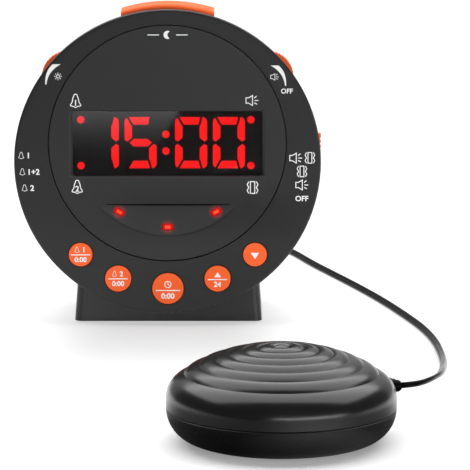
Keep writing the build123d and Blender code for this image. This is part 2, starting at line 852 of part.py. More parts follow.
def shaker_post_places():
    """Places of the shaker's case screws round its axis."""
    for angle in shaker_screw_angles:
        turn = math.radians(angle)
        yield shaker_screw_circle * math.cos(turn), shaker_screw_circle * math.sin(turn)


def dome_outline():
    """Outside of the top shell: an upright wall, a rounded shoulder and a ring of small arcs for each ripple."""
    low = shaker_seam_height
    lip = (shaker_lip_radius, dome_height(shaker_lip_radius))
    lines = Polyline((0, low), (shaker_radius - shaker_seam, low), (shaker_radius, low + shaker_seam),
                     (shaker_radius, shaker_equator))
    lines += TangentArc((shaker_radius, shaker_equator), lip, tangent=(0, 1))
    step = shaker_lip_radius / (shaker_ripples - 0.5)
    valleys = [shaker_lip_radius - step * index for index in range(shaker_ripples)]
    for outer, inner in zip(valleys, valleys[1:]):
        start = Vector(outer, dome_height(outer))
        end = Vector(inner, dome_height(inner))
        across = (end - start).normalized()
        crest = (start + end) / 2 + Vector(across.Y, -across.X) * shaker_ripple_rise
        lines += ThreePointArc(start, crest, end)
    rim = Vector(valleys[-1], dome_height(valleys[-1]))
    top = Vector(0, rim.Y + shaker_ripple_rise)
    lines += TangentArc(top, rim, tangent=(1, 0))
    return make_face(lines + Line(top, (0, low)))


def make_shaker_top():
    """Rippled dome shell with screw posts and the grommet's hole."""
    body = shaker_turned(dome_outline())
    inner_radius = shaker_radius - shaker_wall
    bend = (shaker_bend * inner_radius, shaker_equator + (shaker_dome - shaker_wall) * shaker_bend_height)
    crown = TangentArc((0, shaker_equator + shaker_dome - shaker_wall), bend, tangent=(1, 0))
    shoulder = TangentArc(bend, (inner_radius, shaker_equator), tangent=crown % 1)
    low = shaker_seam_height
    hollow = shaker_turned(make_face(
        crown + shoulder + Polyline(shoulder @ 1, (inner_radius, low), (0, low), crown @ 0)))
    for x, y in shaker_post_places():
        hollow -= shaker_place * column(x, y, shaker_post_radius - shaker_wall / 2, low, shaker_equator + shaker_dome)
    body -= hollow
    for x, y in shaker_post_places():
        body -= shaker_place * column(x, y, screw_radius + screw_fit, low, shaker_seam_height + shaker_screw_bite)
    return body - grommet_place * Cylinder(grommet_neck + fit, 2 * shaker_wall + 2 * grommet_reach)


shaker_screw_bite = 5.0


def make_shaker_bottom():
    """Bottom shell: a cup with a broad rounded edge, screw wells and a flat floor."""
    flat = shaker_radius - shaker_edge_radius
    low = shaker_pad_thick
    high = shaker_seam_height

    def cup(inset):
        edge = shaker_edge_radius - inset
        corner = CenterArc((flat, high), edge, 270, 90)
        side = Line((flat + edge, high), (0, high))
        return make_face(Polyline((0, high), (0, high - edge), (flat, high - edge)) + corner + side)

    shell = shaker_turned(cup(0))
    seam = shell.edges().filter_by(GeomType.CIRCLE).group_by(Axis.Z)[-1]
    shell = chamfer(seam, shaker_seam) - shaker_turned(cup(shaker_wall))
    for x, y in shaker_post_places():
        shell += (shaker_place * column(x, y, shaker_post_radius, low, high)) & shaker_turned(cup(0))
        shell -= shaker_place * column(x, y, screw_head_radius + fit, 0, shaker_well_top)
        shell -= shaker_place * column(x, y, screw_radius + fit, 0, high)
    return shell


motor_front = motor_shift + motor_length / 2
motor_back = motor_shift - motor_length / 2
cradle_floor = shaker_pad_thick + shaker_wall
cradle_half = motor_radius + cradle_side


def bar_along_x(radius, start, end):
    """Round bar along the motor's axis, inside the shaker."""
    length = end - start
    return shaker_place * Pos((start + end) / 2, 0, motor_height) * Rot(0, 90, 0) * Cylinder(radius, length)


def make_motor():
    """Motor can with a bearing bore in its front end."""
    can = fillet(bar_along_x(motor_radius, motor_back, motor_front).edges(), 1.0)
    return can - bar_along_x(shaft_radius + running_fit, motor_front - shaft_bearing, motor_front)


def make_weight():
    """Half-round eccentric weight with a hub round the shaft."""
    start = motor_front + weight_gap
    end = start + weight_thick
    half = bar_along_x(weight_radius, start, end)
    half &= shaker_place * Pos((start + end) / 2, 0, motor_height - weight_radius / 2) * Box(
        weight_thick, 2 * weight_radius, weight_radius)
    hub = bar_along_x(2 * shaft_radius, start, end)
    return half + hub - bar_along_x(shaft_radius + screw_fit / 2, start, end)


strap_screw_y = motor_radius + strap_thick + screw_head_radius + 2 * fit
strap_screw_places = [(motor_shift, strap_screw_y), (motor_shift, -strap_screw_y)]


def make_motor_cradle():
    """Block on the shaker's floor, hollowed to hold the motor."""
    block = shaker_place * Pos(motor_shift, 0, (cradle_floor + motor_height) / 2) * Box(
        cradle_length, 2 * cradle_half, motor_height - cradle_floor)
    block -= bar_along_x(motor_radius + running_fit, motor_back, motor_front)
    for x, y in strap_screw_places:
        block -= shaker_place * column(x, y, screw_radius + screw_fit, motor_height - strap_screw_grip, motor_height)
    return block


strap_screw_grip = 6.0


def make_motor_strap():
    """Sheet strap over the motor with two feet on the cradle."""
    start = motor_shift - strap_width / 2
    end = motor_shift + strap_width / 2
    inner = motor_radius + running_fit
    strap = bar_along_x(inner + strap_thick, start, end)
    strap += shaker_place * Pos(motor_shift, 0, motor_height + strap_thick / 2) * Box(
        strap_width, 2 * cradle_half, strap_thick)
    strap -= bar_along_x(inner, start, end)
    strap &= shaker_place * Pos(motor_shift, 0, motor_height + cradle_half) * Box(
        strap_width, 2 * cradle_half, 2 * cradle_half)
    for x, y in strap_screw_places:
        strap -= shaker_place * column(x, y, screw_radius + fit, motor_height, motor_height + strap_thick)
    return strap


def screw_downwards(x, y, seat, grip):
    """Pan-head screw pointing down, its head above a seat height, inside the shaker."""
    head = fillet(column(x, y, screw_head_radius, seat, seat + screw_head_thick).edges().sort_by(Axis.Z)[-1],
                  screw_head_thick / 3)
    return shaker_place * (head + column(x, y, screw_radius, seat - grip, seat))


def make_shaker_screws():
    """Case screws from below and strap screws from above."""
    case = [shaker_place * screw_upright(x, y, shaker_well_top, shaker_seam_height + shaker_screw_bite - shaker_well_top)
            for x, y in shaker_post_places()]
    strap_seat = motor_height + strap_thick
    strap = [screw_downwards(x, y, strap_seat, strap_thick + strap_screw_grip) for x, y in strap_screw_places]
    return group(case + strap)


grommet_out = Vector(math.cos(math.radians(grommet_angle)), math.sin(math.radians(grommet_angle)), 0)
grommet_seat = shaker_radius + fit
grommet_tip = Vector(shaker_x, shaker_y, grommet_height) + grommet_out * (grommet_seat + grommet_reach)
grommet_plane = Plane(
    Vector(shaker_x, shaker_y, grommet_height) + grommet_out * grommet_seat,
    x_dir=(0, 0, 1), z_dir=grommet_out)
grommet_place = grommet_plane.location


def make_grommet():
    """Ribbed strain relief: a neck through the wall, a collar inside and ribs that taper outside."""
    inside = -shaker_wall - grommet_collar_gap
    tip_radius = cord_diameter / 2 + 0.6
    body = Cylinder(grommet_neck, -inside, align=(Align.CENTER, Align.CENTER, Align.MAX))
    body += Pos(0, 0, inside) * Cylinder(grommet_radius, 1.2, align=(Align.CENTER, Align.CENTER, Align.MAX))
    pitch = grommet_reach / grommet_ribs
    for index in range(grommet_ribs):
        wide = grommet_radius + (tip_radius - grommet_radius) * index / (grommet_ribs - 1)
        body += Pos(0, 0, pitch * index) * Cylinder(wide, pitch * 0.6, align=(Align.CENTER, Align.CENTER, Align.MIN))
        body += Pos(0, 0, pitch * index) * Cylinder(wide - 0.4, pitch, align=(Align.CENTER, Align.CENTER, Align.MIN))
    return grommet_place * body


def ramp(share):
    """Smooth step from 0 to 1."""
    share = min(max(share, 0.0), 1.0)
    return share * share * (3 - 2 * share)


def coil_centre(turn):
    """Middle of the wound cord after some turns: spirals in, climbs a layer, spirals out, and so on."""
    layer = min(int(turn // coil_turns), coil_layers - 1)
    within = turn - layer * coil_turns
    inward = within if layer % 2 == 0 else coil_turns - within
    radius = coil_radius - coil_pitch * inward
    climbed = sum(ramp((turn - coil_turns * step) / coil_climb + 0.5) for step in range(1, coil_layers))
    angle = math.pi + 2 * math.pi * turn
    return Vector(coil_x + radius * math.cos(angle), face_y + coil_behind + radius * math.sin(angle),
                  coil_floor + coil_pitch * climbed)


def coil_heading(turn):
    """Direction of the wound cord after some turns."""
    nudge = 0.01
    return (coil_centre(turn + nudge) - coil_centre(turn - nudge)).normalized()


def biarc(start, start_heading, end, end_heading):
    """Two arcs that leave start and reach end along the given headings."""
    chord = end - start
    both = start_heading + end_heading
    spread = 2 * (1 - start_heading.dot(end_heading))
    along = chord.dot(both)
    reach = (math.sqrt(along ** 2 + spread * chord.dot(chord)) - along) / spread
    first = start + start_heading * reach
    last = end - end_heading * reach
    joint = (first + last) / 2
    return [Edge.make_tangent_arc(start, start_heading, joint),
            Edge.make_tangent_arc(joint, last - first, end)]


def swept_tube(path, start, heading, name):
    """Round tube of the cord's size along a path, with its volume set against section times length."""
    tube = sweep(Plane(start, z_dir=heading) * Circle(cord_diameter / 2), path=path)
    expected = math.pi * cord_diameter ** 2 / 4 * path.length
    print(f"{name}: length {path.length:.1f}, volume over section x length {tube.volume / expected:.4f}")
    return tube


coil_end_turn = coil_turns * coil_layers + coil_tail
coil_start_point = coil_centre(0) - coil_heading(0) * cord_diameter
coil_end_point = coil_centre(coil_end_turn) + coil_heading(coil_end_turn) * cord_diameter


def make_cord_coil():
    """The put-away length wound in a neat round coil of several layers, with short straight ends."""
    quarters = round(coil_end_turn * 4)
    turns = [index / 4 for index in range(quarters + 1)]
    headings = [coil_heading(turn) for turn in turns]
    edges = [Edge.make_line(coil_start_point, coil_centre(0))]
    for index in range(quarters):
        edges += biarc(coil_centre(turns[index]), headings[index], coil_centre(turns[index + 1]), headings[index + 1])
    edges.append(Edge.make_line(coil_centre(coil_end_turn), coil_end_point))
    path = Wire(edges)
    samples = [path @ (index / 900) for index in range(901)]
    apart = int(900 * coil_pitch * 2 / path.length) + 8
    gap = min((samples[i] - samples[j]).length for i in range(901) for j in range(i + apart, 901)) - cord_diameter
    print(f"coil: least gap to itself {gap:.2f}")
    return swept_tube(path, coil_start_point, coil_centre(0) - coil_start_point, "cord_coil")


def make_cord_tie():
    """Flat band round the coil's section on its right side."""
    slack = coil_pitch * 0.25 + cord_diameter / 2 + tie_gap
    inner = coil_radius - coil_pitch * coil_turns - slack
    outer = coil_radius + slack
    low = tie_thick
    high = coil_floor + coil_pitch * (coil_layers - 1) + cord_diameter / 2 + tie_gap
    middle = Pos(coil_x + (inner + outer) / 2, face_y + coil_behind, (low + high) / 2)
    corner = cord_diameter / 2
    hole = RectangleRounded(outer - inner, high - low, corner)
    band = RectangleRounded(outer - inner + 2 * tie_thick, high - low + 2 * tie_thick, corner + tie_thick) - hole
    return middle * Rot(90, 0, 0) * extrude(band, tie_width / 2, both=True)


def routed_tube(points, name):
    """Tube along straight runs joined by the largest tangent arcs that the runs allow."""
    points = [Vector(*point) for point in points]
    radii = []
    for before, here, after in zip(points, points[1:], points[2:]):
        turn = math.radians((here - before).get_angle(after - here))
        run = min((here - before).length, (after - here).length)
        radii.append(0.45 * run / math.tan(turn / 2))
    print(f"{name}: radii", " ".join(f"{radius:.0f}" for radius in radii))
    path = FilletPolyline(*points, radius=radii)
    return swept_tube(Wire(path.edges()), points[0], points[1] - points[0], name)


def behind(x, depth, height):
    """Point of the cord given by its distance behind the clock's face."""
    return x, face_y + depth, height


cord_floor = cord_diameter / 2
shaker_route = [
    tuple(grommet_tip), tuple(grommet_tip + grommet_out * 5.0),
    behind(91.9, -175.8, 15.9), behind(95.6, -167.4, 15.4), behind(99.2, -153.1, 14.0), behind(101.5, -126.0, 10.2),
    behind(103.6, -95.0, 5.4), behind(104.5, -62.0, 2.2), behind(103.7, -34.0, cord_floor),
    behind(100.5, -10.0, cord_floor), behind(94.9, 15.0, cord_floor), behind(87.3, 45.0, cord_floor),
    behind(78.6, 74.0, cord_floor), behind(69.0, 103.0, cord_floor), behind(59.2, 132.0, cord_floor),
    behind(51.5, 160.0, cord_floor), behind(40.0, 184.0, cord_floor), behind(20.0, 197.0, cord_floor),
    behind(-3.0, 192.0, cord_floor), behind(-19.0, 176.0, cord_floor),
    tuple(coil_start_point - coil_heading(0) * 25.0), tuple(coil_start_point),
]
plug_x = socket_spread
plug_z = axis_height - socket_drop
plug_face = body_depth + fit
plug_tip = plug_face + plug_length + plug_relief
plug_route = [
    tuple(coil_end_point), tuple(coil_end_point + coil_heading(coil_end_turn) * 6.5),
    behind(12.0, 101.0, 17.0), behind(16.0, 96.5, 23.0), behind(15.5, 91.0, 29.5),
    behind(plug_x, plug_tip + 9.0, plug_z), behind(plug_x, plug_tip, plug_z),
]


def make_plug():
    """Moulded plug: a grip with a soft rim, then a ribbed relief that tapers to the cord."""
    plane = Plane((plug_x, face_y, plug_z), x_dir=(1, 0, 0), z_dir=(0, 0, 1))
    axis = Axis((plug_x, face_y, plug_z), (0, 1, 0))
    grip_end = plug_face + plug_length
    edge = 0.8
    grip = revolve(plane * closed(
        (0, plug_face), (plug_radius - edge, plug_face), (plug_radius, plug_face + edge),
        (plug_radius, grip_end - edge), (plug_radius - edge, grip_end), (0, grip_end)), axis)
    ribs = 5
    pitch = plug_relief / ribs
    for index in range(ribs):
        wide = plug_radius - edge + (plug_relief_tip - plug_radius + edge) * index / (ribs - 1)
        start = grip_end + pitch * index
        grip += rod(plug_x, -socket_drop, wide, start, start + pitch * 0.6)
        grip += rod(plug_x, -socket_drop, wide - 0.5, start, start + pitch)
    return grip


def make_plug_pin():
    """Plug's pin with a rounded nose, inside the jack."""
    pin = rod(plug_x, -socket_drop, jack_pin_radius, plug_face - plug_pin_length, plug_face)
    return fillet(pin.edges().sort_by(Axis.Y)[0], jack_pin_radius / 2)


def make_all():
    """Every piece of the clock, its shaker and its cord under its own name."""
    lit, dark = make_segments()
    basket, cone, magnet = make_speaker()
    pieces = {
        "front_bezel": make_front_bezel(),
        "face_panel": make_face_panel(),
        "display_lens": slab(lens_outline(0), lens_front, panel_thick),
        "display_module": slab(display_outline(0), display_front, board_depth),
        "lit_segments": lit,
        "dark_segments": dark,
        "alert_light_pipes": make_alert_light_pipes(),
        "main_board": make_main_board(),
        "key_switches": make_key_switches(),
        "snooze_bar": make_snooze_bar(),
        "snooze_switch": make_snooze_switch(),
        "rear_housing": make_rear_housing(),
        "speaker_basket": basket,
        "speaker_cone": cone,
        "speaker_magnet": magnet,
        "battery_cap": make_battery_cap(),
        "backup_cell": rod(0, -cap_drop, cell_radius, cell_front, cell_back),
        "cell_contact": rod(0, -cap_drop, cell_radius * 0.8, cup_front, cell_front),
        "dc_inlet": make_dc_inlet(),
        "shaker_jack": make_shaker_jack(),
        "housing_screws": group([screw_along_y(x, z, boss_depth + well_floor, well_floor + housing_screw_grip)
                                 for x, z in housing_bosses]),
        "board_screws": group([screw_along_y(x, z, board_back, board_thick + board_screw_grip)
                               for x, z in board_posts]),
        "stand": make_stand(),
        "base_plate": make_base_plate(),
        "foot_pad": make_foot_pad(),
        "stand_screws": group([screw_upright(x, stand_screw_y, stand_screw_seat, stand_screw_top - stand_screw_seat)
                               for x in (stand_screw_x, -stand_screw_x)]),
        "base_screws": group([screw_upright(x, y, base_screw_seat, plate_top - base_screw_seat + base_screw_grip)
                              for x, y in base_screw_places]),
        "shaker_top": make_shaker_top(),
        "shaker_bottom": make_shaker_bottom(),
        "shaker_pad": shaker_place * column(0, 0, shaker_pad_radius, 0, shaker_pad_thick),
        "shaker_motor": make_motor(),
        "motor_shaft": bar_along_x(shaft_radius, motor_front - shaft_bearing + fit, motor_front + shaft_free),
        "eccentric_weight": make_weight(),
        "motor_cradle": make_motor_cradle(),
        "motor_strap": make_motor_strap(),
        "shaker_screws": make_shaker_screws(),
        "shaker_grommet": make_grommet(),
        "cord_to_shaker": routed_tube(shaker_route, "cord_to_shaker"),
        "cord_coil": make_cord_coil(),
        "cord_to_plug": routed_tube(plug_route, "cord_to_plug"),
        "cord_tie": make_cord_tie(),
        "shaker_plug": make_plug(),
        "plug_pin": make_plug_pin(),
    }
    for name, (angle, radius) in button_specs.items():
        pieces[name] = make_button(angle, radius)
    for side, wheel, control in ((1, "volume_wheel", "volume_control"), (-1, "dimmer_wheel", "dimmer_control")):
        place = (side * wheel_place[0], wheel_place[1])
        pieces[wheel] = make_wheel(place)
        pieces[control] = make_control(place)
    pieces["mode_slider"] = make_knob(1, mode_rest)
    pieces["mode_switch"] = make_slide_switch(1, mode_rest, mode_step * mode_steps, 0)
    pieces["alarm_slider"] = make_knob(-1, alarm_rest)
    pieces["alarm_switch"] = make_slide_switch(-1, alarm_rest, alarm_step, alarm_step)
    return pieces


os.makedirs("parts", exist_ok=True)
for piece_name, piece in make_all().items():
    export_step(piece, f"parts/{piece_name}.step")
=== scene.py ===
import math

import bpy
import numpy as np
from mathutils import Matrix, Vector


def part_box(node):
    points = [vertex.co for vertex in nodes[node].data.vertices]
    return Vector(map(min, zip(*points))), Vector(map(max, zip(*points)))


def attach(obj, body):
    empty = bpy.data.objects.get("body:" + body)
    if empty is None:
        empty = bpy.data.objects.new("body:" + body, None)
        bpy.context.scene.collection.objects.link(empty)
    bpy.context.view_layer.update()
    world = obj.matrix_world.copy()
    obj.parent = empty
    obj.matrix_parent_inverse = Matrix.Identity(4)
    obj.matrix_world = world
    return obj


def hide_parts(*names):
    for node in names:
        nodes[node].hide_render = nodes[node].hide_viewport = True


# Looks of a bed shaker alarm clock: a finish for every solid, printed marks, the twin flex and the studio

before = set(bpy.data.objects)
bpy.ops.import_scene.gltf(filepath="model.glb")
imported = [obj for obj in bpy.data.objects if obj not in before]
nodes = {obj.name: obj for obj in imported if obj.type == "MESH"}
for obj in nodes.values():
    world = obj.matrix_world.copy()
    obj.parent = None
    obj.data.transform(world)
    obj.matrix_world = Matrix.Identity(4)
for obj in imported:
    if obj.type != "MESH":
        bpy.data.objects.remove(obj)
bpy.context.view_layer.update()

# Metres, in the frame of the solids: +X to the viewer's right, the face looks towards -Y, +Z up
MM = 0.001
bezel_low, bezel_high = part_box("front_bezel")
FACE_Y = bezel_low.y
AXIS_Z = (bezel_low.z + bezel_high.z) / 2
puck_low, puck_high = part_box("shaker_bottom")
PUCK_X = (puck_low.x + puck_high.x) / 2
PUCK_Y = (puck_low.y + puck_high.y) / 2

# Layout of the face in millimetres: the panel's rings lie a little above the drum axis
PANEL_LIFT = 7.6
LIGHT_CIRCLE = 33.2
LIGHT_SPREAD = 35.0
LIGHT_TILT = 30.0
SCOOP_RADIUS = 36.9
SCOOP_TOP = -16.4
SCOOP_DEPTH = 0.7
SCOOP_RIM_FADE = 1.2
SCOOP_LIP_FADE = 2.0
SPILL_START = 0.9
SPILL_END = 3.4

# Sizes of the blotches in the plastics' shade and gloss, and of the lines in brushed metal
CLOUD = 18 * MM
GLOSS_PATCH = 6 * MM
BRUSH = 0.4 * MM


class Value:
    """A shader value. Sums, differences and products of values each add one Math node."""

    def __init__(self, finish, socket):
        self.finish = finish
        self.socket = socket

    def combine(self, operation, first, second):
        """One Math node on two values or numbers."""
        return self.finish.node("ShaderNodeMath", {"operation": operation}, {0: first, 1: second})

    def __add__(self, other):
        return self.combine("ADD", self, other)

    def __radd__(self, other):
        return self.combine("ADD", other, self)

    def __sub__(self, other):
        return self.combine("SUBTRACT", self, other)

    def __rsub__(self, other):
        return self.combine("SUBTRACT", other, self)

    def __mul__(self, other):
        return self.combine("MULTIPLY", self, other)

    def __rmul__(self, other):
        return self.combine("MULTIPLY", other, self)


class Finish:
    """One material: a principled shader with constant sockets set by name, and nodes as it needs them."""

    def __init__(self, name, **constants):
        self.material = bpy.data.materials.new(name)
        self.material.use_nodes = True
        self.tree = self.material.node_tree
        self.shader = next(n for n in self.tree.nodes if n.type == "BSDF_PRINCIPLED")
        for key, value in constants.items():
            self.shader.inputs[key.replace("_", " ")].default_value = value

    def node(self, kind, settings=None, inputs=None, output=0):
        """Adds a node: settings first, then a value or a link for each socket. Gives one of its outputs."""
        made = self.tree.nodes.new(kind)
        for key, value in (settings or {}).items():
            setattr(made, key, value)
        for key, value in (inputs or {}).items():
            self.join(made.inputs[key], value)
        return Value(self, made.outputs[output])

    def join(self, socket, value):
        """Links a value to a socket, or sets the socket to a number or a colour."""
        if isinstance(value, Value):
            self.tree.links.new(value.socket, socket)
        else:
            socket.default_value = value

    def feed(self, name, value):
        """Feeds one of the shader's own sockets with something that changes over the surface."""
        self.join(self.shader.inputs[name], value)
        return self

    def place(self):
        """Object coordinates in metres, in the frame of the solids."""
        return self.node("ShaderNodeTexCoord", output="Object")

    def axis(self, letter):
        """One of the object coordinates."""
        return self.node("ShaderNodeSeparateXYZ", inputs={"Vector": self.place()}, output=letter)

    def reach(self, point):
        """Distance from a point."""
        return self.node("ShaderNodeVectorMath", {"operation": "DISTANCE"}, {
            0: self.place(), 1: point}, output="Value")

    def noise(self, size, detail=2.0):
        """Cloudy value from 0 to 1 with blotches of about the given size."""
        return self.node("ShaderNodeTexNoise", inputs={
            "Vector": self.place(), "Scale": 1 / size, "Detail": detail}, output="Fac")

    def blend(self, share, low, high):
        """Colour from low to high by a share that changes over the surface."""
        return self.node("ShaderNodeMix", {"data_type": "RGBA"}, {0: share, 6: low, 7: high}, output=2)

    def rise(self, value, low, high, kind="SMOOTHSTEP"):
        """Step of a value from 0 at low to 1 at high."""
        return self.node("ShaderNodeMapRange", {"interpolation_type": kind}, {
            "Value": value, "From Min": low, "From Max": high})

    def grain(self, height, depth, strength=0.5):
        """Bump from a height value, of the given depth in metres."""
        return self.feed("Normal", self.node("ShaderNodeBump", inputs={
            "Strength": strength, "Distance": depth, "Height": height}))

    def mould(self, roughness, spread, grain, depth):
        """Roughness that wanders a little, and a spark grain of a size and depth in millimetres."""
        self.feed("Roughness", roughness + spread * (self.noise(GLOSS_PATCH) - 0.5))
        return self.grain(self.noise(grain * MM, detail=3.0), depth * MM).material


def colour(shade):
    """Opaque colour from a grey level or from three channels."""
    channels = (shade,) * 3 if isinstance(shade, float) else shade
    return (*channels, 1.0)


def moulded(name, dark, light, roughness, spread=0.1, grain=0.5, depth=0.01, **constants):
    """Moulded plastic: a faint cloudy shade, a gloss that wanders a little and a fine spark grain."""
    finish = Finish(name, **constants)
    finish.feed("Base Color", finish.blend(finish.noise(CLOUD), colour(dark), colour(light)))
    return finish.mould(roughness, spread, grain, depth)


def light_middle(side):
    """Place of the left, middle or right alert light, in millimetres about the drum axis."""
    turn = math.radians(LIGHT_SPREAD * side)
    return LIGHT_CIRCLE * math.sin(turn), PANEL_LIFT - LIGHT_CIRCLE * math.cos(turn)


def lit_panel(name):
    """Face panel plastic: painted light makes it paler in the scoop, and a painted red glow stands in for
    light spilt round each alert light.
    """
    finish = Finish(name, Specular_IOR_Level=0.42, Emission_Strength=1.0)
    x, z = finish.axis("X"), finish.axis("Z") - (AXIS_Z + PANEL_LIFT * MM)
    rim, lip = SCOOP_RADIUS * MM, (SCOOP_TOP - PANEL_LIFT) * MM
    # Painted light: a paler base colour inside the scoop, below its lip, where light falls on the scoop's
    # floor
    inside = 1 - finish.rise(x * x + z * z, (rim - SCOOP_RIM_FADE * MM) ** 2, rim ** 2)
    below = 1 - finish.rise(z, lip - SCOOP_LIP_FADE * MM, lip)
    cloud = finish.blend(finish.noise(CLOUD), colour(0.008), colour(0.01))
    finish.feed("Base Color", finish.blend(inside * below, cloud, colour(0.022)))
    # Painted glow: red emission on the panel round each alert light stands in for their spilt light
    lights = [(across * MM, FACE_Y, AXIS_Z + up * MM) for across, up in map(light_middle, (-1, 0, 1))]
    spill = sum(1 - finish.rise(finish.reach(light), SPILL_START * MM, SPILL_END * MM) for light in lights)
    finish.feed("Emission Color", finish.blend(spill, colour(0.0), colour((0.22, 0.002, 0.001))))
    return finish.mould(0.38, spread=0.1, grain=0.5, depth=0.015)


def metal(name, tint, roughness):
    """Bright metal with fine brushed lines that run along X."""
    finish = Finish(name, Metallic=1.0)
    stretched = finish.node("ShaderNodeMapping", inputs={
        "Vector": finish.place(), "Scale": (0.1, 1.0, 1.0)})
    lines = finish.node("ShaderNodeTexNoise", inputs={
        "Vector": stretched, "Scale": 1 / BRUSH, "Detail": 2.0})
    dull = tuple(0.8 * channel for channel in tint)
    finish.feed("Base Color", finish.blend(lines, colour(dull), colour(tint)))
    finish.feed("Roughness", roughness + 0.2 * (lines - 0.5))
    return finish.material


def glowing(name, core, edge, strength, speck, gloss=0.5):
    """Lit plastic: its own light, with specks of a size in millimetres, under a soft gloss."""
    finish = Finish(name, Base_Color=colour(edge), Roughness=0.35, Emission_Strength=strength,
                    Specular_IOR_Level=gloss)
    finish.feed("Emission Color", finish.blend(finish.noise(speck * MM), colour(edge), colour(core)))
    return finish.material


def circuit_board(name):
    """Green solder mask with faint tracks along the edges of uneven squares."""
    finish = Finish(name, Roughness=0.35)
    squares = finish.node("ShaderNodeTexVoronoi", {"distance": "CHEBYCHEV"}, {
        "Vector": finish.place(), "Scale": 1 / (5 * MM)})
    tracks = finish.rise(squares, 0.42, 0.5, kind="LINEAR")
    finish.feed("Base Color", finish.blend(tracks, colour((0.01, 0.075, 0.03)), colour((0.02, 0.13, 0.05))))
    return finish.material


def smoked_lens(name):
    """Smoky clear acrylic: dark, polished, with the faintest ripple in its gloss."""
    finish = Finish(name, IOR=1.49, Transmission_Weight=1.0)
    finish.feed("Base Color", finish.blend(finish.noise(30 * MM), colour(0.5), colour(0.54)))
    finish.feed("Roughness", 0.02 + 0.02 * finish.noise(12 * MM))
    return finish.material


def flex_skin(name):
    """Black flex: a faint cloudy shade and a slightly uneven sheen."""
    finish = Finish(name, Specular_IOR_Level=0.05)
    finish.feed("Base Color", finish.blend(finish.noise(9 * MM), colour(0.0015), colour(0.004)))
    finish.feed("Roughness", 0.16 + 0.12 * finish.noise(3 * MM))
    return finish.grain(finish.noise(0.8 * MM), 0.02 * MM, 0.3).material


face_plastic = moulded("face_plastic", 0.0065, 0.0085, 0.4, depth=0.02, Specular_IOR_Level=0.38)
panel_plastic = lit_panel("panel_plastic")
housing_plastic = moulded("housing_plastic", 0.0075, 0.0105, 0.48, spread=0.12, grain=0.6, depth=0.05,
                          Specular_IOR_Level=0.4)
stand_plastic = moulded("stand_plastic", 0.009, 0.012, 0.42, grain=0.6, depth=0.03)
puck_plastic = moulded("puck_plastic", 0.005, 0.0075, 0.24, spread=0.08, grain=0.4,
                       Specular_IOR_Level=0.45)
puck_base = moulded("puck_base", 0.004, 0.006, 0.28, spread=0.08, grain=0.4,
                    Specular_IOR_Level=0.5, Specular_Tint=colour(0.45))
orange_plastic = moulded("orange_plastic", (0.97, 0.135, 0.034), (1.0, 0.16, 0.045), 0.45, spread=0.12,
                         depth=0.012, Specular_IOR_Level=0.15, Specular_Tint=colour(0.25))
inner_plastic = moulded("inner_plastic", 0.006, 0.009, 0.5, grain=0.4, depth=0.02)
rubber = moulded("rubber", 0.012, 0.02, 0.75, spread=0.15, grain=0.7, depth=0.08)
paper_cone = moulded("paper_cone", 0.012, 0.022, 0.85, grain=1.2, depth=0.1)
dark_segment = moulded("dark_segment", (0.008, 0.003, 0.003), (0.011, 0.004, 0.004), 0.5)
deep_shade = moulded("deep_shade", 0.001, 0.002, 0.9, Specular_IOR_Level=0.0)
soft_shade = moulded("soft_shade", 0.004, 0.006, 0.45, Specular_IOR_Level=0.3)
# Painted highlight for the lit bevel of the display window
edge_highlight = moulded("edge_highlight", 0.02, 0.03, 0.4)
white_ink = moulded("white_ink", 0.9, 0.97, 0.6, grain=0.3, depth=0.005)
steel = metal("steel", (0.6, 0.6, 0.61), 0.3)
plated = metal("plated", (0.8, 0.78, 0.74), 0.18)
brass = metal("brass", (0.65, 0.46, 0.2), 0.32)
red_segment = glowing("red_segment", (1.0, 0.006, 0.006), (1.0, 0.003, 0.003), strength=1.6, speck=2.0)
red_alert = glowing("red_alert", (0.38, 0.003, 0.002), (0.3, 0.001, 0.001), strength=1.0, speck=1.2,
                    gloss=0.1)
hot_core = glowing("hot_core", (1.0, 0.065, 0.025), (1.0, 0.04, 0.015), strength=1.0, speck=0.8, gloss=0.1)
board_mask = circuit_board("board_mask")
lens_acrylic = smoked_lens("lens_acrylic")
flex_black = flex_skin("flex_black")

DRESS = {
    face_plastic: ["front_bezel"],
    panel_plastic: ["face_panel"],
    housing_plastic: ["rear_housing", "base_plate", "battery_cap"],
    stand_plastic: ["stand"],
    puck_plastic: ["shaker_top"],
    puck_base: ["shaker_bottom"],
    orange_plastic: ["alarm_one_button", "alarm_two_button", "time_button", "up_button", "down_button",
                     "snooze_bar", "volume_wheel", "dimmer_wheel", "mode_slider", "alarm_slider"],
    inner_plastic: ["display_module", "key_switches", "snooze_switch", "volume_control", "dimmer_control",
                    "mode_switch", "alarm_switch", "dc_inlet", "shaker_jack", "motor_cradle"],
    rubber: ["foot_pad", "shaker_pad"],
    paper_cone: ["speaker_cone"],
    dark_segment: ["dark_segments"],
    steel: ["speaker_basket", "speaker_magnet", "backup_cell", "cell_contact", "housing_screws",
            "board_screws", "stand_screws", "base_screws", "shaker_motor", "motor_shaft", "motor_strap",
            "shaker_screws"],
    plated: ["plug_pin"],
    brass: ["eccentric_weight"],
    red_segment: ["lit_segments"],
    red_alert: ["alert_light_pipes"],
    board_mask: ["main_board"],
    lens_acrylic: ["display_lens"],
    flex_black: ["cord_to_shaker", "cord_coil", "cord_to_plug", "cord_tie", "shaker_plug",
                 "shaker_grommet"],
}
for material, names in DRESS.items():
    for name in names:
        mesh = nodes[name].data
        mesh.materials.clear()
        mesh.materials.append(material)


def grid_faces(rows, columns, closed_columns, closed_rows=False):
    """Quads of a rows by columns grid of points, joined round where the columns or the rows close."""
    along = np.arange(rows if closed_rows else rows - 1)
    across = np.arange(columns if closed_columns else columns - 1)
    i, j = np.meshgrid(along, across, indexing="ij")
    under, after = (i + 1) % rows, (j + 1) % columns
    corners = [i * columns + j, i * columns + after, under * columns + after, under * columns + j]
    return np.stack(corners, axis=-1).reshape(-1, 4).tolist()


def unit(vectors):
    """Vectors divided by their own lengths."""
    return vectors / np.linalg.norm(vectors, axis=-1, keepdims=True)


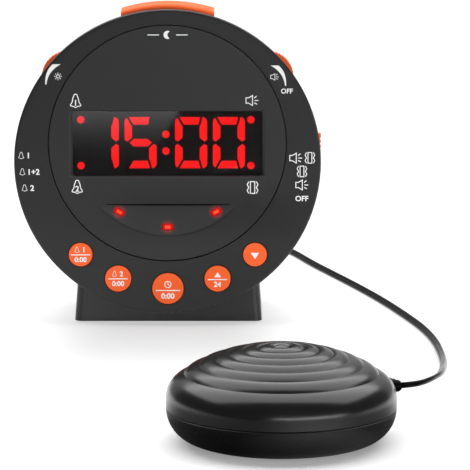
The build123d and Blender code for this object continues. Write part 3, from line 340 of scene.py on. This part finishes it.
def mesh_of(curve):
    """Points and faces of a curve or a line of type, which is then removed."""
    holder = bpy.data.objects.new("holder", curve)
    mesh = bpy.data.meshes.new_from_object(holder)
    points = np.empty(len(mesh.vertices) * 3)
    mesh.vertices.foreach_get("co", points)
    faces = [list(polygon.vertices) for polygon in mesh.polygons]
    bpy.data.objects.remove(holder)
    bpy.data.curves.remove(curve)
    bpy.data.meshes.remove(mesh)
    return points.reshape(-1, 3), faces


def smooth_line(points, samples):
    """Points along a quadratic NURBS curve that has the given points as its control points."""
    curve = bpy.data.curves.new("route", "CURVE")
    curve.dimensions = "3D"
    spline = curve.splines.new("NURBS")
    spline.points.add(len(points) - 1)
    spline.points.foreach_set("co", np.c_[points, np.ones(len(points))].ravel())
    spline.order_u = 3
    spline.use_endpoint_u = True
    spline.resolution_u = samples
    return mesh_of(curve)[0]


def mesh_object(name, points, faces, material, smooth=True):
    """Object made of points and faces, with one finish."""
    mesh = bpy.data.meshes.new(name)
    mesh.from_pydata(np.asarray(points).tolist(), [], faces)
    mesh.polygons.foreach_set("use_smooth", np.full(len(mesh.polygons), smooth))
    mesh.materials.append(material)
    mesh.update()
    made = bpy.data.objects.new(name, mesh)
    bpy.context.scene.collection.objects.link(made)
    return made


def add_piece(name, points, faces, material, body, smooth=True):
    """Piece of the part, which rides on a body."""
    piece = mesh_object(name, points, faces, material, smooth)
    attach(piece, body)
    return piece


# Camera: long lens, a little above the clock and to its right, looking down by ten degrees
CAMERA_X = 26.5 * MM
CAMERA_AHEAD = 1400 * MM
CAMERA_HEIGHT = 283.6 * MM
CAMERA_PITCH = math.radians(10.0)
FOCAL_PIXELS = 3609
PICTURE_SIDE = 470
camera_data = bpy.data.cameras.new("camera")
camera_data.sensor_width = 36.0
camera_data.lens = FOCAL_PIXELS / PICTURE_SIDE * camera_data.sensor_width
camera_data.clip_start = 0.05
camera_data.clip_end = 50.0
camera = bpy.data.objects.new("camera", camera_data)
camera.location = (CAMERA_X, FACE_Y - CAMERA_AHEAD, CAMERA_HEIGHT)
camera.rotation_euler = (math.pi / 2 - CAMERA_PITCH, 0, 0)
bpy.context.scene.collection.objects.link(camera)
bpy.context.scene.camera = camera


# Marks on the face and the buttons: white ink, and thin lines of painted shade and painted highlight where
# edges and gaps show
INK = 0.04 * MM
STROKE = 0.37 * MM


def strip(left, right, closed=False):
    """Thin flat solid between two edge lines of the face: a rectangular section, one ink deep."""
    section = np.stack([left, right, right, left], axis=1)
    depth = np.broadcast_to([-INK, -INK, 0.0, 0.0], section.shape[:2])
    points = np.stack([section[..., 0], depth, section[..., 1]], axis=-1)
    faces = grid_faces(len(left), 4, True, closed)
    if not closed:
        last = 4 * (len(left) - 1)
        faces += [[0, 3, 2, 1], [last, last + 1, last + 2, last + 3]]
    return points.reshape(-1, 3), faces


def leftward(direction):
    """Directions on the face turned a quarter turn to the left."""
    return np.stack([-direction[:, 1], direction[:, 0]], axis=1)


def stroke(line, closed=False, width=STROKE):
    """Band of even width along a line in millimetres. Each point goes both ways along the mean m of its
    two runs' normals n, by half the width over m . n."""
    line = np.asarray(line, float) * MM
    ahead = unit(np.roll(line, -1, axis=0) - line)
    back = np.roll(ahead, 1, axis=0)
    if not closed:
        back[0], ahead[-1] = ahead[0], back[-1]
    normal = leftward(ahead)
    mitre = unit(normal + leftward(back))
    reach = mitre * width / 2 / (mitre * normal).sum(axis=1, keepdims=True)
    return strip(line + reach, line - reach, closed)


def arc(radius, start, end, count=25):
    """Points (r cos a, r sin a) from one angle to another, in degrees from the right."""
    angle = np.radians(np.linspace(start, end, count))
    return np.stack([radius * np.cos(angle), radius * np.sin(angle)], axis=1)


def circle(radius, count=24):
    """Whole circle as a closed line, without its first point again at the end."""
    return arc(radius, 0, 360 - 360 / count, count)


def bow(start, bend, end, count=14):
    """Parabola (1 - t)^2 a + 2 t (1 - t) b + t^2 c from a start by a bend to an end."""
    t = np.linspace(0, 1, count)[:, None]
    return (1 - t) ** 2 * np.array(start) + 2 * t * (1 - t) * np.array(bend) + t ** 2 * np.array(end)


def figures(words, height, boldness=0.024):
    """Plain figures or letters of a given height in millimetres, about their middle."""
    type_line = bpy.data.curves.new("figures", "FONT")
    type_line.body = words
    type_line.extrude = INK / 2
    type_line.offset = boldness
    type_line.resolution_u = 4
    points, faces = mesh_of(type_line)
    low, high = points.min(axis=0), points.max(axis=0)
    flat = (points - (low + high) / 2) * height * MM / (high - low)[1]
    return [(np.stack([flat[:, 0], -INK / 2 - points[:, 2], flat[:, 1]], axis=1), faces)]


def bell():
    """Bell in outline: a small crown, sides that flare to a rim, and a shallow bowed foot."""
    half = np.array([(0, 2.7), (0.62, 2.6), (0.72, 1.75), (1.1, 1.2), (1.3, -0.6), (2.05, -1.45),
                     (2.0, -2.0), (0.9, -2.05), (0, -2.6)])
    right = smooth_line(np.c_[half, np.zeros(len(half))], 5)[:, :2]
    left = right[-2:0:-1] * (-1, 1)
    return [stroke(np.vstack([right, left]), True)]


def speaker():
    """Small horn in outline with three rays."""
    horn = [(-2.4, 1.05), (-1.4, 1.05), (0.15, 1.95), (0.15, -1.95), (-1.4, -1.05), (-2.4, -1.05)]
    rays = [[(0.85, 0.95), (1.75, 1.75)], [(0.95, 0), (2.45, 0)], [(0.85, -0.95), (1.95, -1.5)]]
    return [stroke(horn, True)] + [stroke(ray) for ray in rays]


def shaking():
    """Upright box in outline between two zigzags."""
    box = [(-0.85, 2.35), (0.85, 2.35), (0.85, -2.35), (-0.85, -2.35)]
    zigzag = np.array([(1.5, 2.35), (2.1, 1.2), (1.5, 0), (2.1, -1.2), (1.5, -2.35)])
    return [stroke(box, True), stroke(zigzag), stroke(zigzag * (-1, 1))]


def sun():
    """Ring with eight short rays."""
    rays = [stroke(np.outer([1.35, 2.0], arc(1, angle, angle, 1)[0])) for angle in range(0, 360, 45)]
    return [stroke(circle(0.85), True)] + rays


def moon():
    """Crescent between a wide arc and a flatter one."""
    outer = arc(1.6, 300, 60) * MM
    inner = bow(outer[0], (-0.95 * MM, 0), outer[-1], len(outer))
    return [strip(outer, inner)]


def dial(line=0.3 * MM):
    """Ring with two hands."""
    hands = [(0, 0.8), (0, 0), (0.6, -0.35)]
    return [stroke(circle(1.25), True, line), stroke(hands, width=line)]


def arrowhead(up):
    """Solid triangle that points up or down."""
    wide = np.array([(-1.5, -1.1), (-0.05, 1.1)]) * MM
    left = wide if up else (wide * (1, -1))[::-1]
    return [strip(left, left * (-1, 1))]


def swelling_wedge(mirror):
    """Curved wedge beside a thumbwheel: thin at its lower end, a flat top that comes to a point."""
    outer = bow((-47.7, 31.0), (-47.9, 36.4), (-44.7, 39.0)) * MM
    inner = bow((-47.25, 31.0), (-46.7, 36.2), (-41.6, 39.0)) * MM
    if mirror:
        shift = np.array([-1.2, -0.5]) * MM
        return [strip(inner * (-1, 1) + shift, outer * (-1, 1) + shift)]
    return [strip(outer, inner)]


def rule(width):
    """Level line of a given width in millimetres."""
    return [stroke([(-width / 2, 0), (width / 2, 0)])]


def at(shapes, x, z, size=1.0):
    """Shapes set at a place on the face, in millimetres, at a share of their size."""
    return [(points * (size, 1, size) + (x * MM, 0, z * MM), faces) for points, faces in shapes]


def print_marks(name, body, front, shapes, finish):
    """All shapes as one piece on a front surface, about the drum axis."""
    point_sets, face_sets = zip(*shapes)
    starts = np.cumsum([0] + [len(points) for points in point_sets])
    points = np.vstack(point_sets) + (0, front, AXIS_Z)
    faces = [[start + corner for corner in face]
             for start, group in zip(starts, face_sets) for face in group]
    add_piece(name, points, faces, finish, body, smooth=False)


# White marks beside the display, at the right and left sliders, at the top and beside the thumbwheels
face_shapes = [
    at(bell(), -35.9, 24.5), at(figures("1", 2.3), -35.9, 23.8),
    at(bell(), -35.5, -9.6), at(figures("2", 2.3), -35.5, -10.3),
    at(speaker(), 33.2, 24.7), at(shaking(), 33.4, -9.8),

    at(speaker(), 50.4, 1.9), at(shaking(), 55.9, 2.0, 0.9),
    at(shaking(), 52.8, -3.4, 0.9),
    at(speaker(), 52.8, -8.8),
    at(figures("OFF", 2.2), 52.8, -14.2),

    at(bell(), -57.4, 2.9, 0.5), at(figures("1", 2.3), -54.6, 2.9),
    at(bell(), -57.0, -3.6, 0.5), at(figures("1+2", 2.3), -52.4, -3.6),
    at(bell(), -56.2, -10.0, 0.5), at(figures("2", 2.3), -53.2, -10.0),

    at(moon(), 0.2, 50.5), at(rule(4.5), -5.4, 50.5), at(rule(4.5), 5.8, 50.5),

    swelling_wedge(False), at(sun(), -42.7, 34.2, 0.75),
    swelling_wedge(True), at(speaker(), 42.0, 34.0, 0.65), at(figures("OFF", 2.0), 46.8, 28.4),
]
print_marks("face_marks", "clock", FACE_Y, sum(face_shapes, []), white_ink)


def light_core(side, half_length=1.05, width=1.15 * MM):
    """Hot middle of one alert light, a short bar that leans as the light does."""
    lean = math.radians(LIGHT_TILT * side)
    half = half_length * np.array([math.cos(lean), math.sin(lean)])
    return at([stroke([-half, half], width=width)], *light_middle(side))


print_marks("alert_light_cores", "clock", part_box("alert_light_pipes")[0].y,
            light_core(-1) + light_core(0) + light_core(1), hot_core)

SCOOP_SLOPE = SCOOP_DEPTH / (SCOOP_RADIUS + SCOOP_TOP - PANEL_LIFT)


def in_scoop(shapes):
    """Shapes laid on the scoop's floor, a shallow cone that deepens by the slope from its rim inwards."""
    laid = []
    for points, faces in shapes:
        out = np.hypot(points[:, 0], points[:, 2] - PANEL_LIFT * MM)
        depth = SCOOP_SLOPE * np.maximum(SCOOP_RADIUS * MM - out, 0)
        laid.append((points + depth[:, None] * (0, 1, 0), faces))
    return laid


def lip_shade(half=25.2, height=0.62, tip=0.06, count=41):
    """Shade under the scoop's straight lip: its lower edge is half an ellipse below the lip."""
    x = np.linspace(-half, half, count)
    drop = tip + height * np.sqrt(1 - (x / half) ** 2)
    upper = np.stack([x, np.full(count, SCOOP_TOP)], axis=1) * MM
    lower = np.stack([x, SCOOP_TOP - drop], axis=1) * MM
    return [strip(upper, lower)]


print_marks("scoop_lip_shade", "clock", FACE_Y, in_scoop(lip_shade()), deep_shade)

# Shade at the scoop's round rim, by degrees to each side of the lowest point
RIM_HALF = 47
RIM_LINE = 0.26 * MM
rim_shade = stroke(arc(SCOOP_RADIUS, 270 - RIM_HALF, 270 + RIM_HALF, 49), width=RIM_LINE)
print_marks("scoop_rim_shade", "clock", FACE_Y, at([rim_shade], 0, PANEL_LIFT), soft_shade)

# Painted highlight at the left and the foot of the display window, where its bevel catches the light, in
# millimetres about the drum axis
WINDOW_SIDE = 38.35
WINDOW_FOOT = -5.6
WINDOW_HEAD = 19.6
WINDOW_LINE = 0.3 * MM
edge_corners = [(-WINDOW_SIDE, WINDOW_HEAD), (-WINDOW_SIDE, WINDOW_FOOT), (WINDOW_SIDE, WINDOW_FOOT)]
window_edge_highlight = stroke(edge_corners, width=WINDOW_LINE)
print_marks("window_edge_highlight", "clock", FACE_Y, [window_edge_highlight], edge_highlight)

# Digits in millimetres: their middles across the face, half a digit's width and height, a segment's width
DIGIT_MIDDLES = [-25.425, -10.575, 9.275, 24.125]
DIGIT_WIDE = 6.3
DIGIT_TALL = 10.15
SEGMENT = 2.95
OVERRUN = 0.3

# Insets of the slots between the segments, at a slot's outer end and at its inner end
LEFT_SLOT = (1.05, 0.15)
RIGHT_SLOT = (2.2, 0.1)
WAIST_SLOT = (1.2, 0.25)


def segment_gaps(width=0.85 * MM):
    """Black bars over the slots between the seven segments of one digit: slanting bars at its corners,
    from the outer edge to the inner one, and at its waist."""
    inner_x, inner_z = DIGIT_WIDE - SEGMENT, DIGIT_TALL - SEGMENT
    bars = []
    for up in (1, -1):
        outside, inside = up * (DIGIT_TALL + OVERRUN), up * (inner_z - OVERRUN)
        waist = up * (SEGMENT / 2 + WAIST_SLOT[1])
        bars.append([(LEFT_SLOT[0] - DIGIT_WIDE, outside), (LEFT_SLOT[1] - inner_x, inside)])
        bars.append([(DIGIT_WIDE - RIGHT_SLOT[0], outside), (inner_x - RIGHT_SLOT[1], inside)])
        for side in (1, -1):
            bars.append([(side * (DIGIT_WIDE - WAIST_SLOT[0]), 0), (side * (inner_x - OVERRUN), waist)])
    return [stroke(bar, width=width) for bar in bars]


digit_gaps = sum((at(segment_gaps(), x, PANEL_LIFT) for x in DIGIT_MIDDLES), [])
print_marks("segment_gaps", "clock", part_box("lit_segments")[0].y, digit_gaps, dark_segment)

# Button marks in millimetres about each button's middle
FIGURE = 2.1
RULE = 7.6
set_time = figures("0:00", FIGURE)


def alarm_mark(number):
    """Small bell and a number, a rule, and the figures of a time."""
    upper = at(bell(), -1.4, 2.0, 0.42) + at(figures(number, FIGURE), 1.3, 2.0)
    return upper + rule(RULE) + at(set_time, 0, -1.9)


BUTTON_MARKS = {
    "alarm_one_button": alarm_mark("1"),
    "alarm_two_button": alarm_mark("2"),
    "time_button": at(dial(), 0, 1.7) + at(rule(9.6), 0, -0.7) + at(set_time, 0, -2.9, 1.1),
    "up_button": (at(arrowhead(True), 0, 1.6, 0.9) + at(rule(RULE), 0, -0.3)
                  + at(figures("24", FIGURE), 0, -2.2)),
    "down_button": at(arrowhead(False), 0, -0.4, 1.1),
}

# Painted shadow in the gap round each button, a thin dark ring just behind the face: the flange reaches
# under the face, past the gap that shows
BUTTON_FLANGE = 0.65
BUTTON_GAP = 0.35
GAP_SHADOW_LINE = 0.3 * MM
GAP_SHADOW_DEPTH = 0.3 * MM
for button, shapes in BUTTON_MARKS.items():
    low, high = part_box(button)
    flange_radius = (high.x - low.x) / 2
    middle = ((low.x + high.x) / 2 / MM, (high.z - flange_radius - AXIS_Z) / MM)
    print_marks(button + "_mark", button, low.y, at(shapes, *middle), white_ink)
    gap_radius = flange_radius / MM - BUTTON_FLANGE + BUTTON_GAP / 2
    # Painted shadow: a dark ring over the gap round the button
    gap_shadow = at([stroke(circle(gap_radius, 60), True, GAP_SHADOW_LINE)], *middle)
    print_marks(button + "_gap_shadow", "clock", FACE_Y + GAP_SHADOW_DEPTH, gap_shadow, deep_shade)


# Cord: a twin flex from the shaker's grommet round to a coil behind the clock and on to its plug
CORD_DIAMETER = 3.0 * MM
LOBE_RADIUS = 0.85 * MM
LOBE_SPREAD = CORD_DIAMETER / 2 - LOBE_RADIUS
FLEX_TILT = math.radians(32.0)
GROMMET_ANGLE = math.radians(21.0)
GROMMET_REACH = 44.1 * MM
GROMMET_HEIGHT = 16.0 * MM
GROMMET_LEAD = 5 * MM
COIL_X = -4.0 * MM
COIL_BEHIND = 125.0 * MM
COIL_RADIUS = 21.7 * MM
COIL_PITCH = 3.5 * MM
COIL_FLOOR = 2.7 * MM
COIL_TURNS = 3
COIL_LAYERS = 4
COIL_TAIL = 0.25
COIL_CLIMB = 0.5
POINTS_PER_TURN = 24

# Points of the cord in millimetres: to the right, behind the clock's face and up
REST = 1.25
PLUG_X = 13.0
PLUG_TIP = 75.2
PLUG_Z = 34.0
TO_COIL = [
    (91.9, -175.8, 15.9), (95.6, -167.4, 15.4), (99.2, -153.1, 14.0), (101.5, -126.0, 10.2),
    (103.6, -95.0, 5.4), (104.5, -62.0, 2.2), (103.7, -34.0, REST), (100.5, -10.0, REST),
    (94.9, 15.0, REST), (87.3, 45.0, REST), (78.6, 74.0, REST), (69.0, 103.0, REST),
    (59.2, 132.0, REST), (51.5, 160.0, REST), (40.0, 184.0, REST), (20.0, 197.0, REST),
    (-3.0, 192.0, REST), (-19.0, 176.0, REST), (-25.7, 153.0, 2.2),
]
TO_PLUG = [
    (5.5, 102.4, 13.2), (12.0, 101.0, 17.0), (16.0, 96.5, 23.0), (15.5, 91.0, 29.5),
    (PLUG_X, PLUG_TIP + 9.0, PLUG_Z), (PLUG_X, PLUG_TIP, PLUG_Z),
]


def behind_face(points):
    """Points of the cord, given in millimetres from the clock's face, in the frame of the solids."""
    return np.array(points) * MM + (0, FACE_Y, 0)


def coil_points(turn):
    """Middle of the wound cord after some turns: r = R - pitch x p, where p runs from 0 to 3 turns in and
    back out again layer by layer, the angle is half a turn plus 2 pi x turn, and each reversal climbs one
    layer by a smooth step over half a turn."""
    layer = np.minimum(turn // COIL_TURNS, COIL_LAYERS - 1)
    within = turn - layer * COIL_TURNS
    inward = np.where(layer % 2 == 0, within, COIL_TURNS - within)
    radius = COIL_RADIUS - COIL_PITCH * inward
    reversals = COIL_TURNS * np.arange(1, COIL_LAYERS)
    share = np.clip((turn[:, None] - reversals) / COIL_CLIMB + 0.5, 0, 1)
    climbed = (share * share * (3 - 2 * share)).sum(axis=1)
    angle = math.pi + 2 * math.pi * turn
    return np.stack([COIL_X + radius * np.cos(angle), FACE_Y + COIL_BEHIND + radius * np.sin(angle),
                     COIL_FLOOR + COIL_PITCH * climbed], axis=1)


def twin_flex(line, sides=28):
    """Two round cores side by side carried along a line. At angle a from the wide way the skin lies at
    r = c |cos a| + sqrt(R^2 - c^2 sin^2 a), with core radius R and core offset c, and the section is
    tilted."""
    heading = unit(np.gradient(line, axis=0))
    sideways = unit(np.cross(heading, [0.0, 0.0, 1.0]))
    upwards = np.cross(sideways, heading)
    angle = np.linspace(0, 2 * math.pi, sides, endpoint=False)
    to_skin = np.sqrt(LOBE_RADIUS ** 2 - (LOBE_SPREAD * np.sin(angle)) ** 2)
    radius = LOBE_SPREAD * np.abs(np.cos(angle)) + to_skin
    wide, tall = radius * np.cos(angle + FLEX_TILT), radius * np.sin(angle + FLEX_TILT)
    points = line[:, None] + wide[:, None] * sideways[:, None] + tall[:, None] * upwards[:, None]
    faces = grid_faces(len(line), sides, True)
    last = (len(line) - 1) * sides
    faces.append(list(range(sides))[::-1])
    faces.append(list(range(last, last + sides)))
    return points.reshape(-1, 3), faces


grommet_out = np.array([math.cos(GROMMET_ANGLE), math.sin(GROMMET_ANGLE), 0.0])
grommet_tip = np.array([PUCK_X, PUCK_Y, GROMMET_HEIGHT]) + GROMMET_REACH * grommet_out
coil_steps = round((COIL_TURNS * COIL_LAYERS + COIL_TAIL) * POINTS_PER_TURN)
coil_line = coil_points(np.arange(coil_steps + 1) / POINTS_PER_TURN)
cord_route = np.vstack([grommet_tip, grommet_tip + grommet_out * GROMMET_LEAD, behind_face(TO_COIL),
                        coil_line, behind_face(TO_PLUG)])
cord_line = smooth_line(cord_route, 4)
cord_points, cord_faces = twin_flex(cord_line)
cord = add_piece("shaker_cord", cord_points, cord_faces, flex_black, "clock")
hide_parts("cord_to_shaker", "cord_coil", "cord_to_plug")


# Studio: a white paper sweep, a panel and a flag seen in reflections alone, and three soft lamps
STAGE_HALF = 4.0
STAGE_DEPTH = 3.0
STAGE_BEND = 1.0
STAGE_RISE = 3.0


def sweep_floor(columns=3, rows=40):
    """Floor that bends up into a backdrop: level until the bend, then a quarter circle, then upright."""
    bend_end = STAGE_DEPTH + STAGE_BEND * math.pi / 2
    run = np.linspace(-STAGE_HALF, bend_end + STAGE_RISE, rows)
    turn = np.clip((run - STAGE_DEPTH) / STAGE_BEND, 0, math.pi / 2)
    depth = np.minimum(run, STAGE_DEPTH) + STAGE_BEND * np.sin(turn)
    height = STAGE_BEND * (1 - np.cos(turn)) + np.maximum(run - bend_end, 0)
    across = np.linspace(-STAGE_HALF, STAGE_HALF, columns)
    points = np.stack(np.broadcast_arrays(across[None, :], depth[:, None], height[:, None]), axis=-1)
    return points.reshape(-1, 3), grid_faces(rows, columns, False)


def card(corner, across, along):
    """Flat rectangle from a corner by two edges, all in millimetres."""
    corner, across, along = (np.array(vector) * MM for vector in (corner, across, along))
    return [corner, corner + across, corner + across + along, corner + along], [[0, 1, 2, 3]]


def stage_piece(name, points, faces, material):
    """Piece of the studio, which is no part of the clock."""
    piece = mesh_object(name, points, faces, material)
    return piece


def hide_from(thing, *rays):
    """Keeps a card or a lamp out of some kinds of ray."""
    for ray in rays:
        setattr(thing, "visible_" + ray, False)


# Paper: shares of light and shade, and the distances from which and to which each fades
PAPER_WHITE = 1.03
PAPER_FRONT = (-0.42, -0.27)
OWN_LIGHT = 0.66
OWN_LIGHT_FADE = (0.15, 0.9)
PUCK_SHADE = 0.42
PUCK_SHADE_FADE = (44 * MM, 80 * MM)
CLOCK_SHADE = 0.2
CLOCK_SIDE_FADE = (20 * MM, 52 * MM)
CLOCK_FRONT_FADE = (60 * MM, 150 * MM)
CLOCK_BACK_FADE = (30 * MM, 90 * MM)
MIRRORED_SHARE = 0.9
MIRRORED_LEAST = 0.03
MIRRORED_GLOW = 0.25
MIRRORED_DIM = 0.95
DIM_FADE = (50 * MM, 210 * MM)
DIM_END = (PUCK_Y + 10 * MM, PUCK_Y + 80 * MM)
PATCH_PLACE = (PUCK_X + 28 * MM, PUCK_Y - 64 * MM, 0.0)
PATCH_FADE = (5 * MM, 60 * MM)


def paper_finish():
    """White paper whose light is partly its own to the camera, so that shadows on it stay pale; painted
    shade makes it darker close to the shaker and round the clock's foot. Reflections see it glow a little
    and end in front, and a painted dimming darkens it before the shaker in reflections alone, apart from
    one painted bright patch."""
    finish = Finish("paper", Roughness=0.9, Specular_IOR_Level=0.1, Emission_Strength=1.0)
    camera_ray, glossy_ray, clear_ray = (
        finish.node("ShaderNodeLightPath", output=ray)
        for ray in ("Is Camera Ray", "Is Glossy Ray", "Is Transmission Ray"))
    x, y = finish.axis("X"), finish.axis("Y")
    puck = finish.reach((PUCK_X, PUCK_Y, 0.0))

    far = finish.rise(finish.reach((0.0, 0.0, 0.0)), *OWN_LIGHT_FADE)
    # Painted shadow: the paper's own light drops close to the shaker
    own = OWN_LIGHT + (1 - OWN_LIGHT) * far - PUCK_SHADE * (1 - finish.rise(puck, *PUCK_SHADE_FADE))
    # Painted shade round the clock's foot, seen by the camera
    beside = finish.rise(x * x, *(edge ** 2 for edge in CLOCK_SIDE_FADE))
    before = finish.rise(0 - y, *CLOCK_FRONT_FADE)
    beyond = finish.rise(y, *CLOCK_BACK_FADE)
    pale = camera_ray * (1 - CLOCK_SHADE * (1 - beside) * (1 - before) * (1 - beyond))

    paper = finish.rise(y, *PAPER_FRONT)
    # Painted dimming and a painted bright patch, seen in reflections alone
    ahead = 1 - finish.rise(y, *DIM_END)
    patch = finish.rise(finish.reach(PATCH_PLACE), *PATCH_FADE)
    dim = ahead * (1 - finish.rise(puck, *DIM_FADE)) * patch
    seen = paper * (1 - MIRRORED_DIM * dim)

    mirrored = (1 - camera_ray) * (seen * MIRRORED_SHARE + MIRRORED_LEAST)
    finish.feed("Base Color", pale * (PAPER_WHITE - own) + mirrored)
    finish.feed("Emission Color", pale * own + (glossy_ray + clear_ray) * seen * MIRRORED_GLOW)
    return finish.material


PANEL_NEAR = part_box("display_lens")[0].y - 400 * MM
PANEL_LENGTH = 240 * MM
PANEL_FADE = 208 * MM
PANEL_CUT = 52.0 * MM
PANEL_SLANT = 0.075


def graded_panel():
    """Glowing card, no lamp, that only reflections see, giving the display lens its sheen: brighter by the
    square of the distance from its near edge, left of a slanting cut.
    """
    finish = Finish("graded_panel", Base_Color=colour(0.01), Roughness=0.9, Specular_IOR_Level=0.1,
                    Emission_Strength=1.2)
    x, y = finish.axis("X"), finish.axis("Y")
    along = (PANEL_NEAR - y) * (1 / PANEL_FADE)
    lit = finish.node("ShaderNodeMath", {"operation": "LESS_THAN"}, {
        0: x + y * PANEL_SLANT, 1: -PANEL_CUT})
    finish.feed("Emission Color", along * along * lit)
    return finish.material


stage_piece("floor", *sweep_floor(), paper_finish())
panel_corner = (-80, (PANEL_NEAR - PANEL_LENGTH) / MM, 1)
panel_card = card(panel_corner, across=(140, 0, 0), along=(0, PANEL_LENGTH / MM, 0))
lens_panel = stage_piece("lens_panel", *panel_card, graded_panel())
hide_from(lens_panel, "camera", "shadow", "diffuse")
flag_card = card((-20, -150, 36), across=(82, 0, 0), along=(0, 0, 16))
flag = stage_piece("flag", *flag_card, inner_plastic)
hide_from(flag, "camera", "shadow", "diffuse", "transmission")

world = bpy.data.worlds.new("studio")
world.use_nodes = True
background = world.node_tree.nodes["Background"]
background.inputs["Color"].default_value = colour(1.0)
background.inputs["Strength"].default_value = 0.12
bpy.context.scene.world = world


def softbox(name, place, target, size, power):
    """Rectangular area lamp at a place, facing a target."""
    data = bpy.data.lights.new(name, "AREA")
    data.shape = "RECTANGLE"
    data.size, data.size_y = size
    data.energy = power
    lamp = bpy.data.objects.new(name, data)
    lamp.location = place
    lamp.rotation_euler = (Vector(target) - Vector(place)).to_track_quat("-Z", "Y").to_euler()
    bpy.context.scene.collection.objects.link(lamp)
    return lamp


softbox("overhead", place=(0.05, 0.55, 1.15), target=(0.05, 0.5501, 0.0), size=(2.9, 2.1), power=53.0)
front_fill = softbox("front_fill", place=(0.0, FACE_Y - 1.5, 0.55), target=(0.0, FACE_Y, AXIS_Z),
                     size=(0.8, 0.8), power=4.0)
hide_from(front_fill, "glossy")
softbox("low_right", place=(0.5, -1.1, 0.05), target=(PUCK_X, PUCK_Y, 0.04), size=(1.4, 0.09), power=4.0)

view = bpy.context.scene.view_settings
view.view_transform = "Standard"
